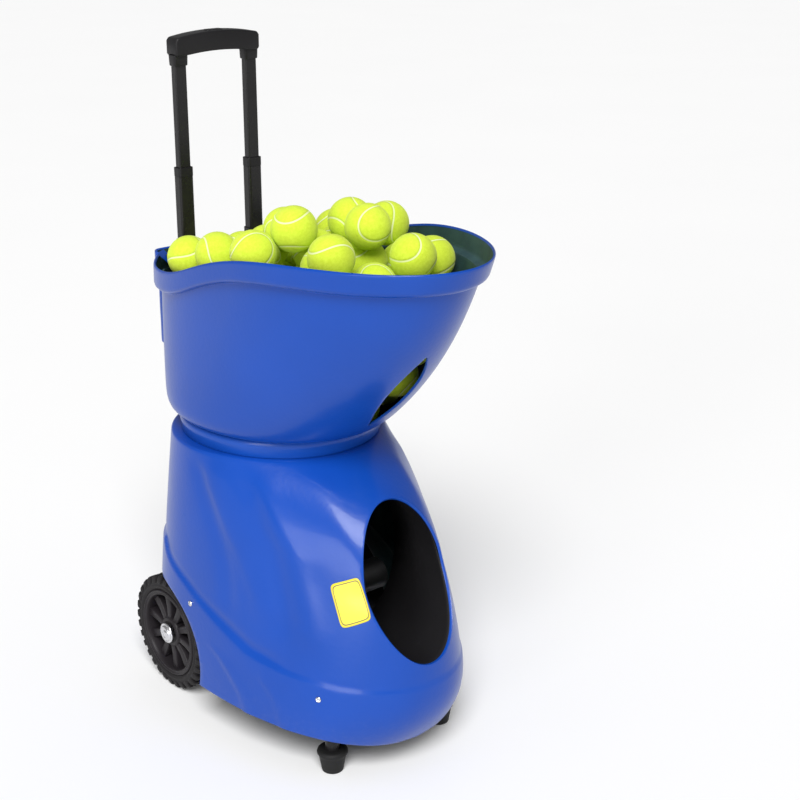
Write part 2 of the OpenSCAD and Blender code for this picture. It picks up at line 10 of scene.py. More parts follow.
import bmesh
import bpy
import numpy as np
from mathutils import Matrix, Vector


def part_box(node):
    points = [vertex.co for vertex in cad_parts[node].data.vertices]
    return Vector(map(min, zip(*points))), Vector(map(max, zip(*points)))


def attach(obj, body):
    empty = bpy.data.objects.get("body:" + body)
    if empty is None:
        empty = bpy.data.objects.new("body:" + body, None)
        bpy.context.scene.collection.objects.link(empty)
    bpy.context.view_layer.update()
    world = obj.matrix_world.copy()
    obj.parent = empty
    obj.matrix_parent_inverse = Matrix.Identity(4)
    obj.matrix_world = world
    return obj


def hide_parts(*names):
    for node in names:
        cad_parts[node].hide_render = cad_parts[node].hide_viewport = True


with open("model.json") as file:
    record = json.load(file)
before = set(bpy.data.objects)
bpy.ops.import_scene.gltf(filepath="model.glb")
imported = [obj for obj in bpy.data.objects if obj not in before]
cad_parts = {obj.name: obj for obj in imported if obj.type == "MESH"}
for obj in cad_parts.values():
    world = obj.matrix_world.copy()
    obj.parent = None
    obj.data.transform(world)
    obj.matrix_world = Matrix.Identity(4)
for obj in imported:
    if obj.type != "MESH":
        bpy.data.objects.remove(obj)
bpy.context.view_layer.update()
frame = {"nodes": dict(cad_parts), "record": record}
slots = {p["node"]: p["material_slot"] for p in frame["record"]["subparts"]}
body_of = {n: b for b, nodes in frame["record"]["behaviour"]["bodies"].items() for n in nodes}

# %% [markdown]
# ## Camera, floor and light
# A long lens from above and to the left keeps the upright edges nearly parallel.
# The floor is one big pale sheet. A dim white world fills the shadows. A wide, soft sun high at the front left
# does most of the work, and a low one at the left draws the long highlights down the flutes of the shell.

# %% Camera, floor and light
NECK_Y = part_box("neck_collar")[1].y * 1000 - 152      # the neck's place behind the origin, mm
scene = bpy.context.scene


def look_at(obj, target):
    obj.rotation_euler = (Vector(target) - obj.location).to_track_quat("-Z", "Y").to_euler()


camera = bpy.data.objects.new("camera", bpy.data.cameras.new("camera"))
camera.location = (-1.3386, NECK_Y * 0.001 - 1.868, 1.3175)
camera.data.lens = 70.4
scene.collection.objects.link(camera)
look_at(camera, (0.1437, NECK_Y * 0.001 - 0.122, 0.49245))
scene.camera = camera


def sun(name, place, strength, softness):
    """A distant lamp that shines from a place towards the machine; softness is its angle in degrees."""
    light = bpy.data.objects.new(name, bpy.data.lights.new(name, "SUN"))
    light.data.energy, light.data.angle = strength, np.radians(softness)
    light.location = place
    scene.collection.objects.link(light)
    look_at(light, (0, 0, 0.5))


sun("key_sun", (-2.2, -2.6, 4.2), 3.1, 28)
sun("low_sun", (-4.2, -1.7, 1.1), 1.1, 26)
world = bpy.data.worlds.new("studio")
world.use_nodes = True
world.node_tree.nodes["Background"].inputs["Color"].default_value = (1, 1, 1, 1)
world.node_tree.nodes["Background"].inputs["Strength"].default_value = 0.30
scene.world = world
scene.view_settings.view_transform = "Standard"
floor_mesh = bpy.data.meshes.new("floor")
floor_mesh.from_pydata([(-30, -30, 0), (30, -30, 0), (30, 30, 0), (-30, 30, 0)], [], [(0, 1, 2, 3)])
floor = bpy.data.objects.new("floor", floor_mesh)
scene.collection.objects.link(floor)

# %% [markdown]
# ## Shader maths
# Writing node trees link by link hides what they mean. A small class holds one socket, and its operators add
# Math nodes, or Vector Math nodes if the socket carries a vector or a colour. Any other node comes from `add`.

# %% A socket with arithmetic
class Wire:
    def __init__(self, tree, socket=None):
        self.tree, self.socket = tree, socket

    def add(self, kind, settings=None, inputs=None, out=0):
        """A new node: its settings first, then values or links for its sockets; gives one of its outputs."""
        node = self.tree.nodes.new(kind)
        for key, value in (settings or {}).items():
            if key == "stops":
                while len(node.color_ramp.elements) < len(value):
                    node.color_ramp.elements.new(0.5)
                for element, (place, colour) in zip(node.color_ramp.elements, value):
                    element.position, element.color = place, colour
            else:
                setattr(node, key, value)
        for key, value in (inputs or {}).items():
            if isinstance(value, Wire):
                self.tree.links.new(value.socket, node.inputs[key])
            else:
                node.inputs[key].default_value = value
        return Wire(self.tree, node.outputs[out])

    def _vector(self, other):
        return any(isinstance(w, Wire) and w.socket.type in ("VECTOR", "RGBA") for w in (self, other))

    def _maths(self, operation, a, b):
        if self._vector(a) or self._vector(b):
            a, b = [(v,) * 3 if isinstance(v, (int, float)) else v for v in (a, b)]
            return self.add("ShaderNodeVectorMath", {"operation": operation}, {0: a, 1: b})
        return self.add("ShaderNodeMath", {"operation": operation}, {0: a, 1: b})

    def __add__(self, other):
        return self._maths("ADD", self, other)

    def __radd__(self, other):
        return self._maths("ADD", other, self)

    def __sub__(self, other):
        return self._maths("SUBTRACT", self, other)

    def __rsub__(self, other):
        return self._maths("SUBTRACT", other, self)

    def __mul__(self, other):
        return self._maths("MULTIPLY", self, other)

    def __rmul__(self, other):
        return self._maths("MULTIPLY", other, self)

    def __truediv__(self, other):
        return self._maths("DIVIDE", self, other)

    def __pow__(self, power):
        return self._maths("POWER", self, power)

    def __abs__(self):
        return self.add("ShaderNodeMath", {"operation": "ABSOLUTE"}, {0: self})

    def sqrt(self):
        return self.add("ShaderNodeMath", {"operation": "SQRT"}, {0: self})

    def step(self, low, high):
        """0 below low and 1 above high, with a smooth rise between them."""
        return self.add("ShaderNodeMapRange", {"interpolation_type": "SMOOTHSTEP"},
                        {"Value": self, "From Min": low, "From Max": high})

    def mix(self, first, second):
        """The first colour where this is 0, the second where it is 1."""
        paints = [v if isinstance(v, Wire) else (*v, 1) for v in (first, second)]
        return self.add("ShaderNodeMix", {"data_type": "RGBA"}, {0: self, 6: paints[0], 7: paints[1]}, out=2)

    def xyz(self):
        node = self.tree.nodes.new("ShaderNodeSeparateXYZ")
        self.tree.links.new(self.socket, node.inputs[0])
        return [Wire(self.tree, s) for s in node.outputs]


# %% [markdown]
# ## Finishes
# Every finish is one function call. A Principled shader takes the constants straight on its sockets, and noise
# on Object coordinates varies colour, roughness and bump. Object coordinates work because every piece sits at
# the origin, with its place in its mesh, so one noise runs over the whole machine at its true scale.

# %% The finish builder
class Finish:
    def __init__(self, name, **constants):
        self.material = bpy.data.materials.new(name)
        self.material.use_nodes = True
        self.shader = self.material.node_tree.nodes["Principled BSDF"]
        for key, value in constants.items():
            socket = self.shader.inputs[key.replace("_", " ").title().replace("Ior", "IOR")]
            socket.default_value = (*value, 1) if isinstance(value, tuple) else value
        self.start = Wire(self.material.node_tree)
        self.place = self.start.add("ShaderNodeTexCoord", out=3)

    def noise(self, scale, detail=2.0, stretch=(1, 1, 1), rough=0.5):
        """Noise between 0 and 1; scale is in blobs per metre."""
        place = self.place * self.start.add("ShaderNodeCombineXYZ", {}, dict(zip("XYZ", stretch)))
        return self.start.add("ShaderNodeTexNoise", {}, {"Vector": place, "Scale": scale, "Detail": detail,
                                                         "Roughness": rough})

    def feed(self, socket, wire):
        self.start.tree.links.new(wire.socket, self.shader.inputs[socket])

    def bump(self, height, depth):
        """Surface relief: height is 0 to 1, depth is in metres."""
        self.feed("Normal", self.start.add("ShaderNodeBump", {}, {"Height": height, "Distance": depth,
                                                                  "Strength": 1.0}))


finishes = {}


def keep(name, finish):
    finishes[name] = finish.material
    return finish.material


# %% [markdown]
# The shells are rotationally moulded plastic: glossy, slightly wavy like orange peel, with hair-fine scratches.
# Low down they carry some court dust, which dulls the gloss and greys the colour.

# %% Moulded blue plastic
def moulded(name, colour, roughness, dust_top=0.14):
    f = Finish(name, roughness=roughness, coat_weight=0.15, coat_roughness=0.10, specular_ior_level=0.24)
    shade = f.noise(5, 3)
    cloud = f.noise(26, 4)
    scratch = f.noise(60, 3, (14, 1, 1)).step(0.66, 0.72) * f.noise(9, 2).step(0.5, 0.65)
    height = f.place.xyz()[2]
    dust = (1 - height.step(0.03, dust_top)) * f.noise(90, 6, rough=0.7).step(0.45, 0.8)
    dark = tuple(c * 0.90 for c in colour)
    base = shade.step(0.3, 0.7).mix(dark, colour)
    f.feed("Base Color", (dust * 0.10).mix(base, (0.25, 0.26, 0.30)))
    f.feed("Roughness", roughness + cloud * 0.06 + scratch * 0.08 + dust * 0.15)
    peel = f.noise(140, 1) * 0.8 + f.noise(900, 1) * 0.2
    f.bump(peel, 0.00020)
    return keep(name, f)


blue_outside = moulded("moulded_blue", (0.004, 0.058, 0.37), 0.28)
moulded("collar_blue", (0.006, 0.068, 0.40), 0.30)


# %% Dull inner face of the mouldings: its dark teal is painted shade with a painted green reflection of the balls
def painted_shade_inner_face():
    f = Finish("moulded_inside", roughness=0.55)
    # The dark teal stands for the shade inside the hollow mouldings and the green the balls reflect into it: painted
    # shade and painted reflection. The noise only varies the tone.
    f.feed("Base Color", f.noise(30, 4).step(0.3, 0.7).mix((0.018, 0.052, 0.060), (0.028, 0.075, 0.080)))
    f.feed("Roughness", 0.5 + f.noise(80, 3) * 0.15)
    f.bump(f.noise(300, 3), 0.0002)
    return keep("moulded_inside", f)


inside_painted_shade = painted_shade_inner_face()

# %% [markdown]
# Black parts are of three kinds: textured plastic, satin-painted tube and rubber. They differ mostly in
# roughness and in the size of their texture, so one function makes them all, with scuffs that lighten them.

# %% Plastics, paints and rubbers
def dull(name, colour, roughness, grain, depth, scuff=0.25, scuff_colour=(0.16, 0.16, 0.17), metallic=0.0, coat=0.0):
    f = Finish(name, metallic=metallic, coat_weight=coat, coat_roughness=0.2, specular_ior_level=0.2)
    rub = f.noise(38, 6, rough=0.7).step(0.60, 0.74) * f.noise(7, 2).step(0.42, 0.62)
    pale = tuple(min(1, c * 1.35 + 0.004) for c in colour)
    f.feed("Base Color", (rub * scuff).mix(f.noise(11, 3).mix(colour, pale), scuff_colour))
    f.feed("Roughness", roughness + f.noise(55, 4) * 0.14 - 0.07 + rub * 0.1)
    f.bump(f.noise(grain, 2), depth)
    return keep(name, f)


dull("black_plastic", (0.0085, 0.0080, 0.0090), 0.40, 1500, 0.00012, scuff=0.15)
dull("black_metal", (0.008, 0.0075, 0.008), 0.28, 2200, 0.00004, scuff=0.12, coat=0.1)
dull("tyre_rubber", (0.010, 0.009, 0.010), 0.60, 900, 0.00022, scuff=0.3, scuff_colour=(0.05, 0.048, 0.046))
dull("wheel_plastic", (0.012, 0.010, 0.012), 0.42, 1500, 0.00010, scuff=0.2, scuff_colour=(0.06, 0.055, 0.055))
dull("grey_rubber", (0.008, 0.008, 0.008), 0.62, 1100, 0.0002, scuff=0.3, scuff_colour=(0.06, 0.055, 0.05))
dull("launch_rubber", (0.012, 0.012, 0.012), 0.7, 1300, 0.0002, scuff=0.6, scuff_colour=(0.12, 0.15, 0.03))
dull("battery_grey", (0.03, 0.03, 0.032), 0.5, 1200, 0.00012)
dull("rocker_red", (0.52, 0.015, 0.010), 0.28, 1500, 0.00005, scuff_colour=(0.6, 0.2, 0.15))
# The sheet steel is given near black, darker than its grey powder coat: painted shade for the dark inside of the
# machine.
dull("sheet_steel", (0.035, 0.037, 0.040), 0.42, 1700, 0.0001, scuff=0.3, scuff_colour=(0.16, 0.16, 0.165))
dull("board_green", (0.008, 0.10, 0.035), 0.38, 700, 0.0001, scuff_colour=(0.05, 0.2, 0.08))


# %% Bright and brushed steel
def steel(name, colour, roughness, stretch):
    f = Finish(name, metallic=1.0)
    brush = f.noise(240, 3, stretch)
    stain = f.noise(40, 5).step(0.55, 0.8)
    brushed = brush.mix(tuple(c * 0.85 for c in colour), colour)
    f.feed("Base Color", stain.mix(brushed, tuple(c * 0.6 for c in colour)))
    f.feed("Roughness", roughness + brush * 0.16 + stain * 0.15)
    f.bump(brush, 0.00006)
    return keep(name, f)


steel("bright_steel", (0.72, 0.72, 0.74), 0.16, (1, 6, 1))
steel("motor_can", (0.42, 0.42, 0.44), 0.30, (9, 1, 1))

# %% [markdown]
# The floor is a stage, not part of the machine, but it bounces most of the light up under the skirt.

# %% Floor finish
def pale_floor():
    f = Finish("pale_floor", roughness=0.6)
    f.feed("Base Color", f.noise(1.5, 2).mix((0.96, 0.96, 0.96), (0.98, 0.98, 0.98)))
    floor.data.materials.append(f.material)


pale_floor()

# %% [markdown]
# ## Mesh helpers
# Most pieces are skins over a row of rings, or grids. One function closes rings into a mesh, and one puts a mesh
# in its place: it moves the points from millimetres about the neck to metres about the origin.

# %% Put a mesh in place
def place_mesh(name, points, faces, material, body, stands_for=(), smooth=True):
    mesh = bpy.data.meshes.new(name)
    points = (np.asarray(points, float).reshape(-1, 3) + (0, NECK_Y, 0)) * 0.001
    used = np.unique([k for face in faces for k in face])
    renumber = np.zeros(len(points), int)
    renumber[used] = np.arange(len(used))
    mesh.from_pydata(points[used].tolist(), [], [[int(renumber[k]) for k in face] for face in faces])
    mesh.validate()
    for paint in material if isinstance(material, (list, tuple)) else [material]:
        mesh.materials.append(paint)
    mesh.polygons.foreach_set("use_smooth", [smooth] * len(mesh.polygons))
    obj = bpy.data.objects.new(name, mesh)
    scene.collection.objects.link(obj)
    dress(obj, body, stands_for)
    return obj


def dress(obj, body, stands_for=()):
    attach(obj, body)
    if stands_for:
        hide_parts(*stands_for)


def grid_faces(rows, cols, wrap_cols=True, wrap_rows=False):
    """Quads over a rows x cols grid, facing out when the rows climb and the columns run anticlockwise."""
    r = np.arange(rows if wrap_rows else rows - 1)
    c = np.arange(cols if wrap_cols else cols - 1)
    a = (r[:, None] * cols + c[None, :]).ravel()
    b = (r[:, None] * cols + (c[None, :] + 1) % cols).ravel()
    up = (((r + 1) % rows)[:, None] * cols + (c[None, :] + 1) % cols).ravel()
    d = (((r + 1) % rows)[:, None] * cols + c[None, :]).ravel()
    return np.stack([a, b, up, d], 1).tolist()


def finish_edges(obj, width=0.0, steps=2, angle=35, wall=0.0, inside=0, even=True):
    """Optional wall thickness and rounded edges, as modifiers."""
    if wall:
        m = obj.modifiers.new("wall", "SOLIDIFY")
        m.thickness, m.offset, m.use_even_offset, m.material_offset = wall * 0.001, -1, even, inside
    if width:
        m = obj.modifiers.new("rounding", "BEVEL")
        m.width, m.segments, m.limit_method = width * 0.001, steps, "ANGLE"
        m.angle_limit = np.radians(angle)
        m.harden_normals = False
    return obj


# %% [markdown]
# ## The lower shell
# The shell is one moulding whose plan changes with height: nearly round at the neck, a long superellipse at the
# skirt. A grid of angle and height follows that rule, so its relief can be added along the normals.
# The openings are cut by sliding the nearest grid points onto each outline, which gives clean edges without
# booleans. A Solidify modifier then gives the wall and a Bevel rounds the cut edges.

# %% Plan of the lower shell
LIP_Z, SKIRT_Z, TOE_Z = 458.0, 145.0, 48.0


def ease(a):
    a = np.clip(a, 0, 1)
    return a * a * (3 - 2 * a)


def ellipse(t, width, front, rear, front_power, rear_power):
    c, s = np.cos(t), np.sin(t)
    power = 2 / np.where(s < 0, front_power, rear_power)
    return (width * np.sign(c) * np.abs(c) ** power,
            np.where(s < 0, front, rear) * np.sign(s) * np.abs(s) ** power)


def shell_plan(z):
    """Half width, front and rear reach, and the two superellipse powers at height z."""
    u = np.clip((LIP_Z - z) / (LIP_Z - SKIRT_Z), 0, 1)
    w = np.clip((LIP_Z - z) / (LIP_Z - 50), 0, 1)
    low = np.clip((SKIRT_Z - z) / 95, 0, 1)
    return (167 + 19 * (1 - (1 - w) ** 1.5), 180 + 186 * (1 - (1 - u) ** 3.6) - 36 * low ** 2.2,
            168 + 26 * (1 - (1 - w) ** 1.6), 1.71 + 0.55 * ease((330 - z) / 240), 2 + 0.3 * np.clip(1.6 * w, 0, 1))


def shell_base(t, z, out=0.0):
    width, front, rear, front_power, rear_power = shell_plan(z)
    x, y = ellipse(t, width + out, front + out, rear + out, front_power, rear_power)
    return np.stack([x, y, z + 0 * x], -1)


def skirt_edge(t):
    return TOE_Z + 25 * np.abs(np.cos(t)) ** 1.2


# %% [markdown]
# The relief is what makes the moulding look moulded: a skirt that stands proud below a long crease, two pairs of
# flutes that sweep down and forward, and short creases by the wheel. Each is a line given by a few heights.

# %% Relief of the lower shell
SKIRT_LINE = ([-400, -321, -292, -264, -221, -195, -143, -105, -70, -33, 8, 55, 75, 91],
              [154, 154, 155, 158, 161, 165, 172, 187, 200, 215, 234, 251, 261, 276])


def ridge(p, line, out_width, in_width, height, top, foot):
    """A crest along a line of (x, y, z) points, given from the top; the second width is towards the rear."""
    line = np.array(line, float)[::-1]
    z = p[..., 2]
    x0 = np.interp(z, line[:, 2], line[:, 0])
    y0 = np.interp(z, line[:, 2], line[:, 1])
    away = np.hypot(np.abs(p[..., 0]) + x0, p[..., 1] - y0) * np.sign(p[..., 1] - y0)
    width = np.where(away > 0, in_width, out_width)
    fade = ease((z - foot) / 40) * ease((top - z) / 30)
    return height * np.exp(-(away / width) ** 2) * fade


def shell_relief(p):
    y, z = p[..., 1], p[..., 2]
    above = z - np.interp(y, *SKIRT_LINE)
    relief = (2.0 + 1.5 * ease((y + 330) / 150)) * ease(0.5 - above / 7)
    valley = ease((y + 235) / 60) * (1.0 + 1.6 * ease((y + 230) / 70) * ease((-30 - y) / 60))
    relief -= valley * np.exp(-((above - 8) / (6 + 3 * ease((-30 - y) / 80))) ** 2)
    crest = [(-166, -35, 441), (-166, -53, 405), (-164, -75, 375), (-162, -97, 344), (-160, -115, 320),
             (-159, -131, 293), (-158, -153, 257)]
    valley = [(-169, -23, 441), (-169, -40, 398), (-170, -57, 361), (-168, -76, 325), (-169, -90, 287),
              (-171, -96, 256)]
    relief += ridge(p, crest, 34, 15, 2.2, 452, 215) + ridge(p, valley, 15, 20, -2.6, 452, 205)
    crest = [(-133, -132, 430), (-134, -157, 394), (-131, -179, 364), (-128, -199, 339), (-129, -212, 303),
             (-129, -226, 276), (-129, -244, 238)]
    valley = [(-141, -123, 421), (-144, -149, 368), (-140, -168, 343), (-141, -182, 304), (-143, -195, 268),
              (-144, -203, 242)]
    relief += ridge(p, crest, 26, 24, 3.2, 450, 190) + ridge(p, valley, 18, 22, -2.4, 445, 200)
    crest = [(-76, -186, 441), (-75, -206, 428), (-75, -233, 407), (-77, -256, 383), (-77, -271, 364),
             (-74, -291, 332)]
    relief += ridge(p, crest, 24, 24, 1.8, 455, 290)
    for line, height in (([(-182, -56, 156), (-181, -85, 140), (-179, -108, 120), (-177, -128, 99),
                           (-175, -141, 64)], 1.8),
                         ([(-168, -171, 137), (-165, -183, 127), (-162, -197, 111), (-158, -208, 62)], 1.2)):
        relief += ridge(p, line, 26, 3.0, height, 165, 25)
    return relief


def with_relief(base, relief, step=0.02):
    """A surface function that adds relief along the normals of another."""
    def surface(t, z, out=0.0):
        p = base(t, z, out)
        across = base(t + step, z, out) - base(t - step, z, out)
        along = base(t, z + 0.5, out) - base(t, z - 0.5, out)
        normal = np.cross(across, along)
        normal /= np.linalg.norm(normal, axis=-1, keepdims=True)
        return p + normal * relief(p)[..., None]
    return surface


shell_surface = with_relief(shell_base, shell_relief)


# %% [markdown]
# An opening is a function of position: positive where the plastic stays. Grid edges that cross zero are found,
# the crossing is bisected, and the nearer end of the edge slides there. What lies inside is then dropped.

# %% Cut openings into a grid
def cut_grid(surface, t, z, out, holes):
    rows, cols = t.shape
    t, z, out = t.ravel().copy(), z.ravel().copy(), out.ravel()
    index = np.arange(rows * cols).reshape(rows, cols)
    edges = np.concatenate([np.stack([index, np.roll(index, -1, 1)], -1).reshape(-1, 2),
                            np.stack([index[:-1], index[1:]], -1).reshape(-1, 2)])
    state = np.ones(rows * cols, int)
    for hole in holes:
        g = hole(surface(t, z, out))
        crossing = edges[g[edges[:, 0]] * g[edges[:, 1]] < 0]
        a, b = crossing.T
        turn = (t[b] - t[a] + np.pi) % (2 * np.pi) - np.pi
        low, high = np.zeros(len(a)), np.ones(len(a))
        for _ in range(16):
            f = (low + high) / 2
            same = hole(surface(t[a] + turn * f, z[a] + (z[b] - z[a]) * f, out[a])) * g[a] > 0
            low, high = np.where(same, f, low), np.where(same, high, f)
        f = (low + high) / 2
        new_t, new_z = t[a] + turn * f, z[a] + (z[b] - z[a]) * f
        moved = np.zeros(rows * cols, bool)
        for k in np.argsort(np.minimum(f, 1 - f), kind="stable"):
            if not (moved[a[k]] or moved[b[k]]):
                v = a[k] if f[k] < 0.5 else b[k]
                t[v], z[v], moved[v] = new_t[k], new_z[k], True
        state = np.where(g < 0, -1, state)
        state[moved] = 0
    faces = []
    for quad in grid_faces(rows, cols):
        s = [state[k] for k in quad]
        if min(s) == 1 or (min(s) == 0 and max(s) == 1):
            faces.append(quad)
        elif min(s) == -1 and max(s) == 1:
            faces.append([k for k in quad if state[k] >= 0])
    return surface(t, z, out), faces


# %% The lower shell's openings
OVAL_Z, OVAL_A, OVAL_B = 298.5, 75.0, 113.0
AXLE_Y, AXLE_Z, ARCH_R = 109.0, 96.0, 112.0
PANEL_Z = 330.0


def oval_hole(p):
    g = ((p[..., 0] / OVAL_A) ** 2 + ((p[..., 2] - OVAL_Z) / OVAL_B) ** 2) ** 0.5 - 1
    return np.where(p[..., 1] < 0, g * 80, 99)


def arch_hole(p):
    x, y, z = np.abs(p[..., 0]), p[..., 1], p[..., 2]
    arch = np.minimum(np.hypot(y - AXLE_Y, z - AXLE_Z) - ARCH_R, np.hypot(y - 76, z - 98) - 110)
    return np.maximum(105 - x, np.minimum(arch, np.maximum(AXLE_Y - y, z - 150)))


def panel_hole(p):
    dx, dz = np.abs(p[..., 0]) - 54, np.abs(p[..., 2] - PANEL_Z) - 39
    g = np.hypot(np.maximum(dx, 0), np.maximum(dz, 0)) + np.minimum(np.maximum(dx, dz), 0) - 8
    return np.where(p[..., 1] > 0, g, 99)


# %% Build the lower shell
def build_lower_shell(cols=330, rows=98):
    turn = np.linspace(0, 2 * np.pi, cols, endpoint=False)
    low = skirt_edge(turn)
    share = np.linspace(0, 1, rows)[:, None]
    z = low + (LIP_Z - 4 - low) * share
    out = np.zeros_like(z)
    lip = [(-2.4, -0.5), (-1.1, -1.4), (-0.3, -2.6), (0, -4.2), (0, -9), (0, -15), (0, -21)]
    z = np.vstack([z] + [np.full((1, cols), LIP_Z + dz) for dz, _ in lip])
    out = np.vstack([out] + [np.full((1, cols), o) for _, o in lip])
    t = np.tile(turn, (len(z), 1))
    points, faces = cut_grid(shell_surface, t, z, out, [oval_hole, arch_hole, panel_hole])
    shell = place_mesh("lower_shell", points, faces, [blue_outside, inside_painted_shade], "machine",
                       ["body_shell"])
    finish_edges(shell, 1.0, 2, 50, wall=4.0, inside=1)
    print("lower shell:", len(faces), "faces before the wall")


build_lower_shell()

# %% [markdown]
# ## The hopper
# The hopper is a second moulding: an ellipse that leans forward as it grows, squarer at the rear. A box bulges
# from its rear to make room for the handle, and a proud band runs round a rim that climbs towards the front.

# %% Plan of the hopper
HOP_Z, BAND_H, BAND_OUT = 486.0, 36.0, 11.0
BOX_HALF, BOX_BACK, BOX_FOOT, BOX_CORNER = 98, 179, 546, 12


def hopper_base(t, z, out=0.0):
    grow = 1 - np.exp(-(z - HOP_Z) / 190)
    tuck = 15 * np.exp(-(z - HOP_Z) / 7)
    width, centre = 165.6 - 6 * grow - tuck, -0.49 * (z - HOP_Z)
    front, rear = 188 + 247 * grow + 51 * grow ** 2 - tuck / 4, 189 - tuck
    x, y = ellipse(t, width + out, front + centre + out, rear - centre + out, 2, 2 + grow)
    y = y + centre
    # the handle box: rear points in front of its width go round its outline instead
    q = np.abs(x) / BOX_HALF
    shelf = centre + (rear - centre + out) * (1 - (BOX_HALF / (width + out)) ** (2 + grow)) ** (1 / (2 + grow))
    side = np.clip((1 - q) / 0.28, 0, 1)
    corner = np.radians(90) * np.clip((0.72 - q) / 0.12, 0, 1)
    edge = out * 0.35
    flat = BOX_HALF - 4 - BOX_CORNER
    box_x = np.where(q > 0.72, BOX_HALF - 4 * ease(side * 2.2) + edge, flat + (BOX_CORNER + edge) * np.cos(corner))
    box_x = np.where(q < 0.6, flat * q / 0.6, box_x)
    box_y = np.where(q > 0.72, shelf + (BOX_BACK - shelf) * side, BOX_BACK + (BOX_CORNER + edge) * np.sin(corner))
    k = np.where((q < 1) & (np.sin(t) > 0), ease((z - BOX_FOOT) / 18), 0)
    return np.stack([x + k * (np.sign(x) * box_x - x), y + k * (box_y - y), z + 0 * x], -1)


def rim_top(y):
    v = -30 - y
    return 739 + np.where(v > 0, 50 * np.tanh(v / 128), 33 * np.tanh(v / 84)) + 5 * ease((y - 130) / 50)


def window_hole(p):
    v = (p[..., 2] - 581) / 70
    g = np.abs(p[..., 0]) - 25 * (1 - v * v)
    return np.where(p[..., 1] < 0, np.where(np.abs(v) > 1.3, 99, g), 99)


# %% Build the hopper
def build_hopper(cols=330, rows=62):
    turn = np.linspace(0, 2 * np.pi, cols, endpoint=False)
    top = rim_top(hopper_base(turn, 757 + 0 * turn, BAND_OUT)[:, 1])
    foot = [(0, -24), (0, -12), (0, -5), (0.3, -2), (1.2, -0.6), (3, 0), (5.5, 0), (9, 0), (14, 0)]
    band = [(-36, 0), (-35.4, 2.5), (-34.4, 5.5), (-33, 8), (-31, 10), (-28, 10.9), (-24, 11), (-18, 11), (-12, 11),
            (-6, 11), (-2.5, 10.8), (-0.9, 9.9), (0, 8.4)]
    share = np.linspace(0, 1, rows)[:, None]
    z = [np.full(cols, HOP_Z + dz) for dz, _ in foot] + list(HOP_Z + 20 + (top - BAND_H - 3 - HOP_Z - 20) * share)
    z += [top + dz for dz, _ in band]
    out = [o for _, o in foot] + [0] * rows + [o for _, o in band]
    z, t = np.array(z), np.tile(turn, (len(z), 1))
    out = np.repeat(np.array(out, float)[:, None], cols, 1)
    points, faces = cut_grid(hopper_base, t, z, out, [window_hole])
    hopper = place_mesh("hopper_shell", points, faces, [blue_outside, inside_painted_shade], "machine",
                        ["hopper"])
    finish_edges(hopper, 0.9, 2, 50, wall=3.5, inside=1)
    print("hopper:", len(faces), "faces before the wall")


build_hopper()


# %% [markdown]
# The collar between the mouldings is a plain ring with rounded edges, so its section is listed once and swept.

# %% Neck collar
def build_collar(cols=180):
    turn = np.linspace(0, 2 * np.pi, cols, endpoint=False)
    section = [(458, -9), (458, -1.5), (459.5, 0), (470, 0), (473, 1.8), (478, 2.2), (482, 1.4), (485.5, -1),
               (486, -3), (486, -9)]
    rings = []
    for z, out in section:
        s = np.sin(turn)
        rings.append(np.stack([(151 + out) * np.cos(turn), (np.where(s < 0, 168, 152) + out) * s, z + 0 * s], -1))
    faces = grid_faces(len(section), cols, wrap_rows=True)
    place_mesh("collar", rings, faces, finishes["collar_blue"], "machine", ["neck_collar"])


build_collar()

# %% [markdown]
# ## Geometry Nodes for what repeats
# Balls, tyre lugs, spokes and screws are each one shape many times. A tree places them from a few named inputs,
# realises the instances and sets the material, and the result becomes a plain mesh.

# %% Trees and the meshes they grow
def new_tree(name, inputs):
    """An empty tree with named inputs, each given as (kind, default)."""
    tree = bpy.data.node_groups.new(name, "GeometryNodeTree")
    tree.interface.new_socket("Geometry", in_out="INPUT", socket_type="NodeSocketGeometry")
    for key, (kind, default) in inputs.items():
        socket = tree.interface.new_socket(key, in_out="INPUT", socket_type="NodeSocket" + kind)
        if default is not None:
            socket.default_value = default
    tree.interface.new_socket("Geometry", in_out="OUTPUT", socket_type="NodeSocketGeometry")
    group = tree.nodes.new("NodeGroupInput")
    return tree, {s.name: Wire(tree, s) for s in group.outputs if s.name}


def end_tree(tree, geometry, material, smooth=True):
    """Realises the instances, shades them and gives them their material."""
    start = Wire(tree)
    solid = start.add("GeometryNodeRealizeInstances", {}, {0: geometry})
    solid = start.add("GeometryNodeSetShadeSmooth", {}, {"Geometry": solid, "Shade Smooth": smooth})
    solid = start.add("GeometryNodeSetMaterial", {}, {"Geometry": solid, "Material": material})
    output = tree.nodes.new("NodeGroupOutput")
    tree.links.new(solid.socket, output.inputs[0])


def grow(name, tree, values, points=((0, 0, 0),), faces=(), attributes=None):
    """Runs a tree on a cloud of points or a small mesh and keeps the result as a plain mesh object."""
    mesh = bpy.data.meshes.new(name + "_seed")
    mesh.from_pydata([tuple(p) for p in points], [], faces)
    for key, rows in (attributes or {}).items():
        mesh.attributes.new(key, "FLOAT_VECTOR", "POINT").data.foreach_set("vector", np.ravel(rows))
    obj = bpy.data.objects.new(name, mesh)
    scene.collection.objects.link(obj)
    modifier = obj.modifiers.new("grow", "NODES")
    modifier.node_group = tree
    for item in tree.interface.items_tree:
        if item.in_out == "INPUT" and item.name in values:
            modifier[item.identifier] = values[item.name]
    graph = bpy.context.evaluated_depsgraph_get()
    grown = bpy.data.meshes.new_from_object(obj.evaluated_get(graph), preserve_all_data_layers=True, depsgraph=graph)
    obj.modifiers.clear()
    obj.data = grown
    print(name + ":", len(grown.polygons), "faces")
    return obj


# %% [markdown]
# ## The tennis balls
# A ball is felt over rubber, with one curved seam. Each ball keeps its own unturned position as an attribute, so
# the seam can be a formula in the shader: on a unit ball the curve x y = k z^3 winds round it as the real seam
# does. The felt is a soft bump with sheen.

